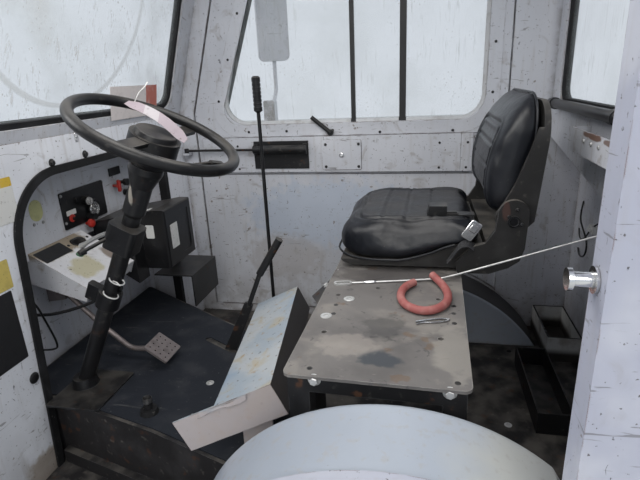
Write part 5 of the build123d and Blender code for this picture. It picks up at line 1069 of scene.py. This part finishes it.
# Outside: wiper, gutter beads and rear lamps
WIPER_Y, BLADE_Y = -300, -240
post = landing((-1400, WIPER_Y, 962), AFT, "windscreen_frame nose_shell")
wiper = Shape().lathe([(16, 0), (16, 6), (12, 12), (7, 14), (7, 22), (0.3, 22.5)], post, 22)
foot = out_of(post, 0, 0, 18)
tip, low, high = (
    out_of(landing((-1400, BLADE_Y, z), AFT, "windscreen_glass windscreen_frame"), 0, 0, proud)
    for z, proud in ((1180, 16), (1010, 8), (1350, 8)))
wiper.tube([foot.lerp(tip, k / 8) - Vector((4 * math.sin(k / 8 * math.pi), 0, 0)) for k in range(9)], 3.2, 8)
wiper.tube([low.lerp(high, k / 10) for k in range(11)], lambda t: 5.2 - 2.5 * abs(2 * t - 1) ** 4, 8)
wiper.piece("wiper", "plastic")
beads = Shape()
for y in (-741, 741):
    beads.tube([(x, y, 1604) for x in range(-540, 741, 80)], 3.5, 8)
for y in (-120, 120):
    beads.tube([(855, y, z) for z in range(120, 821, 70)], 3.0, 8)
beads.piece("gutter_beads", "outside")
lamps = Shape()
for y in (-560, 560):
    lamps.rounded(90, 60, 10, 11.5, lifted(landing((1400, y, 760), FORE, "rear_locker"), z=-12), 3)
lamps.piece("rear_lamp_housings", "plastic")


def film(corners, ring):
    """Nine rings along a four-cornered film, each from its share of the way and its two edge points."""
    a, b, c, d = corners
    return Shape().rings([ring(i / 8, a.lerp(d, i / 8), b.lerp(c, i / 8)) for i in range(9)])


# Tag of stiff film on the wheel's rim, pinched at its ends, with its wire tie
TAG_CORNERS = [Vector(p) for p in ((-403, -175, 1020), (-388, -159, 1031), (-250, -168, 944), (-264, -183, 928))]


def tag_ring(t, left, right):
    up = (right - left).normalized().cross(TAG_CORNERS[3] - TAG_CORNERS[0]).normalized()
    middle = (left + right) / 2 + Vector((3, 0, 5)) * math.sin(t * math.pi) * 2.2
    half = (right - left) / 2 * 0.95 * (0.55 if t in (0, 1) else 1.0)
    return [middle - half, middle + half, middle + half + up * 0.8, middle - half + up * 0.8]


film(TAG_CORNERS, tag_ring).piece("film_tag", "tag", "steering")
Shape().tube(arc([(-382, -156, 1024), (-376, -152, 1036), (-370, -148, 1046), (-362, -138, 1056),
                  (-357, -129, 1067)]), 1.3, 8).piece("tag_tie", "label_pale", "steering")

# Seat: screws and cap of its cover, belt webbing, buckle and latch plate
ON_SEAT = "seat_base seat_shell"
screws = Shape()
for x, z in ((494, 739), (476, 721), (506, 702)):
    screws.pan(landing((x, -120, z), ACROSS, ON_SEAT))
screws.piece("seat_screws", "plastic")
Shape().lathe([(15, 0), (15, 1.8), (13.5, 2.4), (11, 2.4), (10.4, 1.0), (0.3, 1.0)],
              landing((488, -120, 709), ACROSS, ON_SEAT), 28).piece("seat_pivot_cap", "plastic")


def strap(points, across, width, thick):
    """Flat webbing along a line, a little dished, and its length."""
    line = arc(points, 6)
    rows = []
    for i, p in enumerate(line):
        ahead = (line[min(i + 1, len(line) - 1)] - line[max(i - 1, 0)]).normalized()
        side = Vector(across)
        side = (side - side.dot(ahead) * ahead).normalized()
        up = ahead.cross(side)
        shares = [k / 6 - 0.5 for k in range(7)]
        rows.append([p + side * width * u + up * (half - 0.8 * math.cos(u * math.pi))
                     for half, run in ((thick / 2, shares), (-thick / 2, shares[::-1])) for u in run])
    return Shape().rings(rows), sum((b - a).length for a, b in zip(line, line[1:]))


belt, belt_length = strap([(401, -15, 640), (384, -17, 650), (366, -19, 645), (350, -20, 622), (336, -19, 600)],
                          (0.1, 0.5, 0.2), 26, 1.8)
belt = belt.piece("belt_webbing", "webbing")
buckle_at = at((392, -11, 683), (0, -1, 0), (0.55, 0, 0.83))
Shape().rounded(52, 30, 5, 5, buckle_at, 1.5).rounded(20, 18, 3, 3, lifted(buckle_at, 8, 0, 5), 1).piece(
    "belt_buckle", "chrome")
tongue_at = landing((340, 104, 800), DOWN, "seat_belt", (1, 0.1, 0))
tongue = Shape().rounded(62, 30, 6, 2.2, lifted(tongue_at, -4, 0, 0.2), 0.5)
tongue.rounded(30, 17, 3, 3.2, lifted(tongue_at, 8, 0, 2.2), 0.9).piece("belt_latch_plate", "plastic")

# Column: white cable ties round it, and the lever of its lock
ties = Shape()
for centre in ((-480, -205, 595), (-505, -205, 556)):
    ring_at = at(centre, (0.481, 0, 0.877))
    turns = [2 * math.pi * k / 28 for k in range(29)]
    ties.tube([out_of(ring_at, 19.5 * math.cos(a), 15 * math.sin(a), 0) for a in turns], 1.9, 8)
ties.tube(arc([(-478, -224, 600), (-470, -232, 606), (-458, -236, 604), (-450, -237, 596)]), 1.6, 8)
ties.piece("column_ties", "label_pale")
Shape().tube(arc([(-470, -224, 727), (-500, -212, 716), (-535, -200, 700), (-573, -190, 680)]),
             lambda t: 5.4 if t < 0.8 else 5.4 + 16 * (t - 0.8), 12).piece("column_lever", "bright")

# Heel box: torn lap at its near end
rows = []
for i in range(8):
    t = i / 7
    x, z, drop = -205 + 129 * t, 386 + 62 * t, 9 + 5 * math.sin(t * 9)
    y = -414 - 9 * math.sin(t * math.pi) - 4 * noise.noise(Vector((t * 5, 0, 0)))
    rows.append([(x, y, z), (x, y - 1.5, z), (x, y - 2.5, z - drop), (x, y - 1.2, z - drop)])
Shape().rings(rows).piece("heel_box_lap", "heel")

# Windscreen: blank sheet inside the glass, with a red band, and a clip of the gasket
SHEET_CORNERS = [
    out_of(landing((-400, y, z), FORE, "windscreen_frame windscreen_glass window_seals"), 0, 0, 2.5)
    for y, z in ((210, 958), (210, 1061), (493, 1061), (493, 958))]


def sheet_ring(t, low, high):
    proud = Vector((1.6 + 1.4 * noise.noise(Vector((4 * t, 3, 1))), 0, 0))
    thick = Vector((0.5, 0, 0))
    return [low + proud, high + proud * 1.5, high + proud * 1.5 + thick, low + proud + thick]


film(SHEET_CORNERS, sheet_ring).piece("screen_sheet", "screen_sheet")
clip_at = landing((-500, 45, 928), FORE, "window_seals windscreen_frame front_bulkhead")
Shape().rounded(26, 14, 4, 3, clip_at, 1).pan(lifted(clip_at, z=3), 0.8).piece("gasket_clip", "chrome")

# Rear: washer on the floor, screws of the ledge, and a connector block on the locker's wall
ledge = Shape().lathe(WASHER, landing((534, 60, 300), DOWN, "floor_pan underframe"), 24)
for y in (5, 60, 117):
    ledge.pan(landing((500, y, 880), AFT, "rear_ledge rear_wall"), 1.2)
ledge.piece("ledge_screws", "wire")
block_at = landing((700, 452, 548), AFT, "rear_locker", ACROSS)
Shape().rounded(46, 24, 4, 20, block_at, 2).rounded(30, 12, 3, 26, block_at, 2).piece("connector_block", "label_pale")

# Studio
scene = bpy.context.scene
scene.view_settings.view_transform = "Standard"
world = bpy.data.worlds.new("studio")
world.use_nodes = True
world.node_tree.nodes["Background"].inputs[0].default_value = (0.86, 0.92, 1, 1)
world.node_tree.nodes["Background"].inputs[1].default_value = 0.8
scene.world = world

# Area lamps. Rows: name, place, target, size, power, colour
for name, spot, target, size, power, colour in (
    ("key", (0.9, -5.4, 4.2), (-0.1, 0.1, 0.7), 3.0, 140, (1, 0.97, 0.92)),
    ("screen", (-5.2, -1.2, 4.2), (0, 0.1, 0.6), 3.0, 185, (1, 0.98, 0.95)),
    ("under_roof", (-0.05, -0.1, 1.57), (-0.05, 0.1, 0.4), 0.9, 11, (1, 0.98, 0.95)),
):
    data = bpy.data.lights.new(name, "AREA")
    data.size = size
    data.energy = power
    data.color = colour
    lamp = object_of(data, name)
    lamp.location = spot
    lamp.rotation_euler = (Vector(target) - Vector(spot)).to_track_quat("-Z", "Y").to_euler()
    lamp.visible_camera = False
    lamp.visible_transmission = False

floor_mesh = bpy.data.meshes.new("floor")
floor_mesh.from_pydata([(-12, -12, 0), (12, -12, 0), (12, 12, 0), (-12, 12, 0)], [], [(0, 1, 2, 3)])
floor_paint = Surface("floor_pale", (0.60, 0.60, 0.59), 0.8)
floor_paint.layer((0.55, 0.55, 0.54), floor_paint.spots(2, 4, 0.4, 0.7, 0.5))
floor_mesh.materials.append(floor_paint.done())
floor = object_of(floor_mesh, "floor")
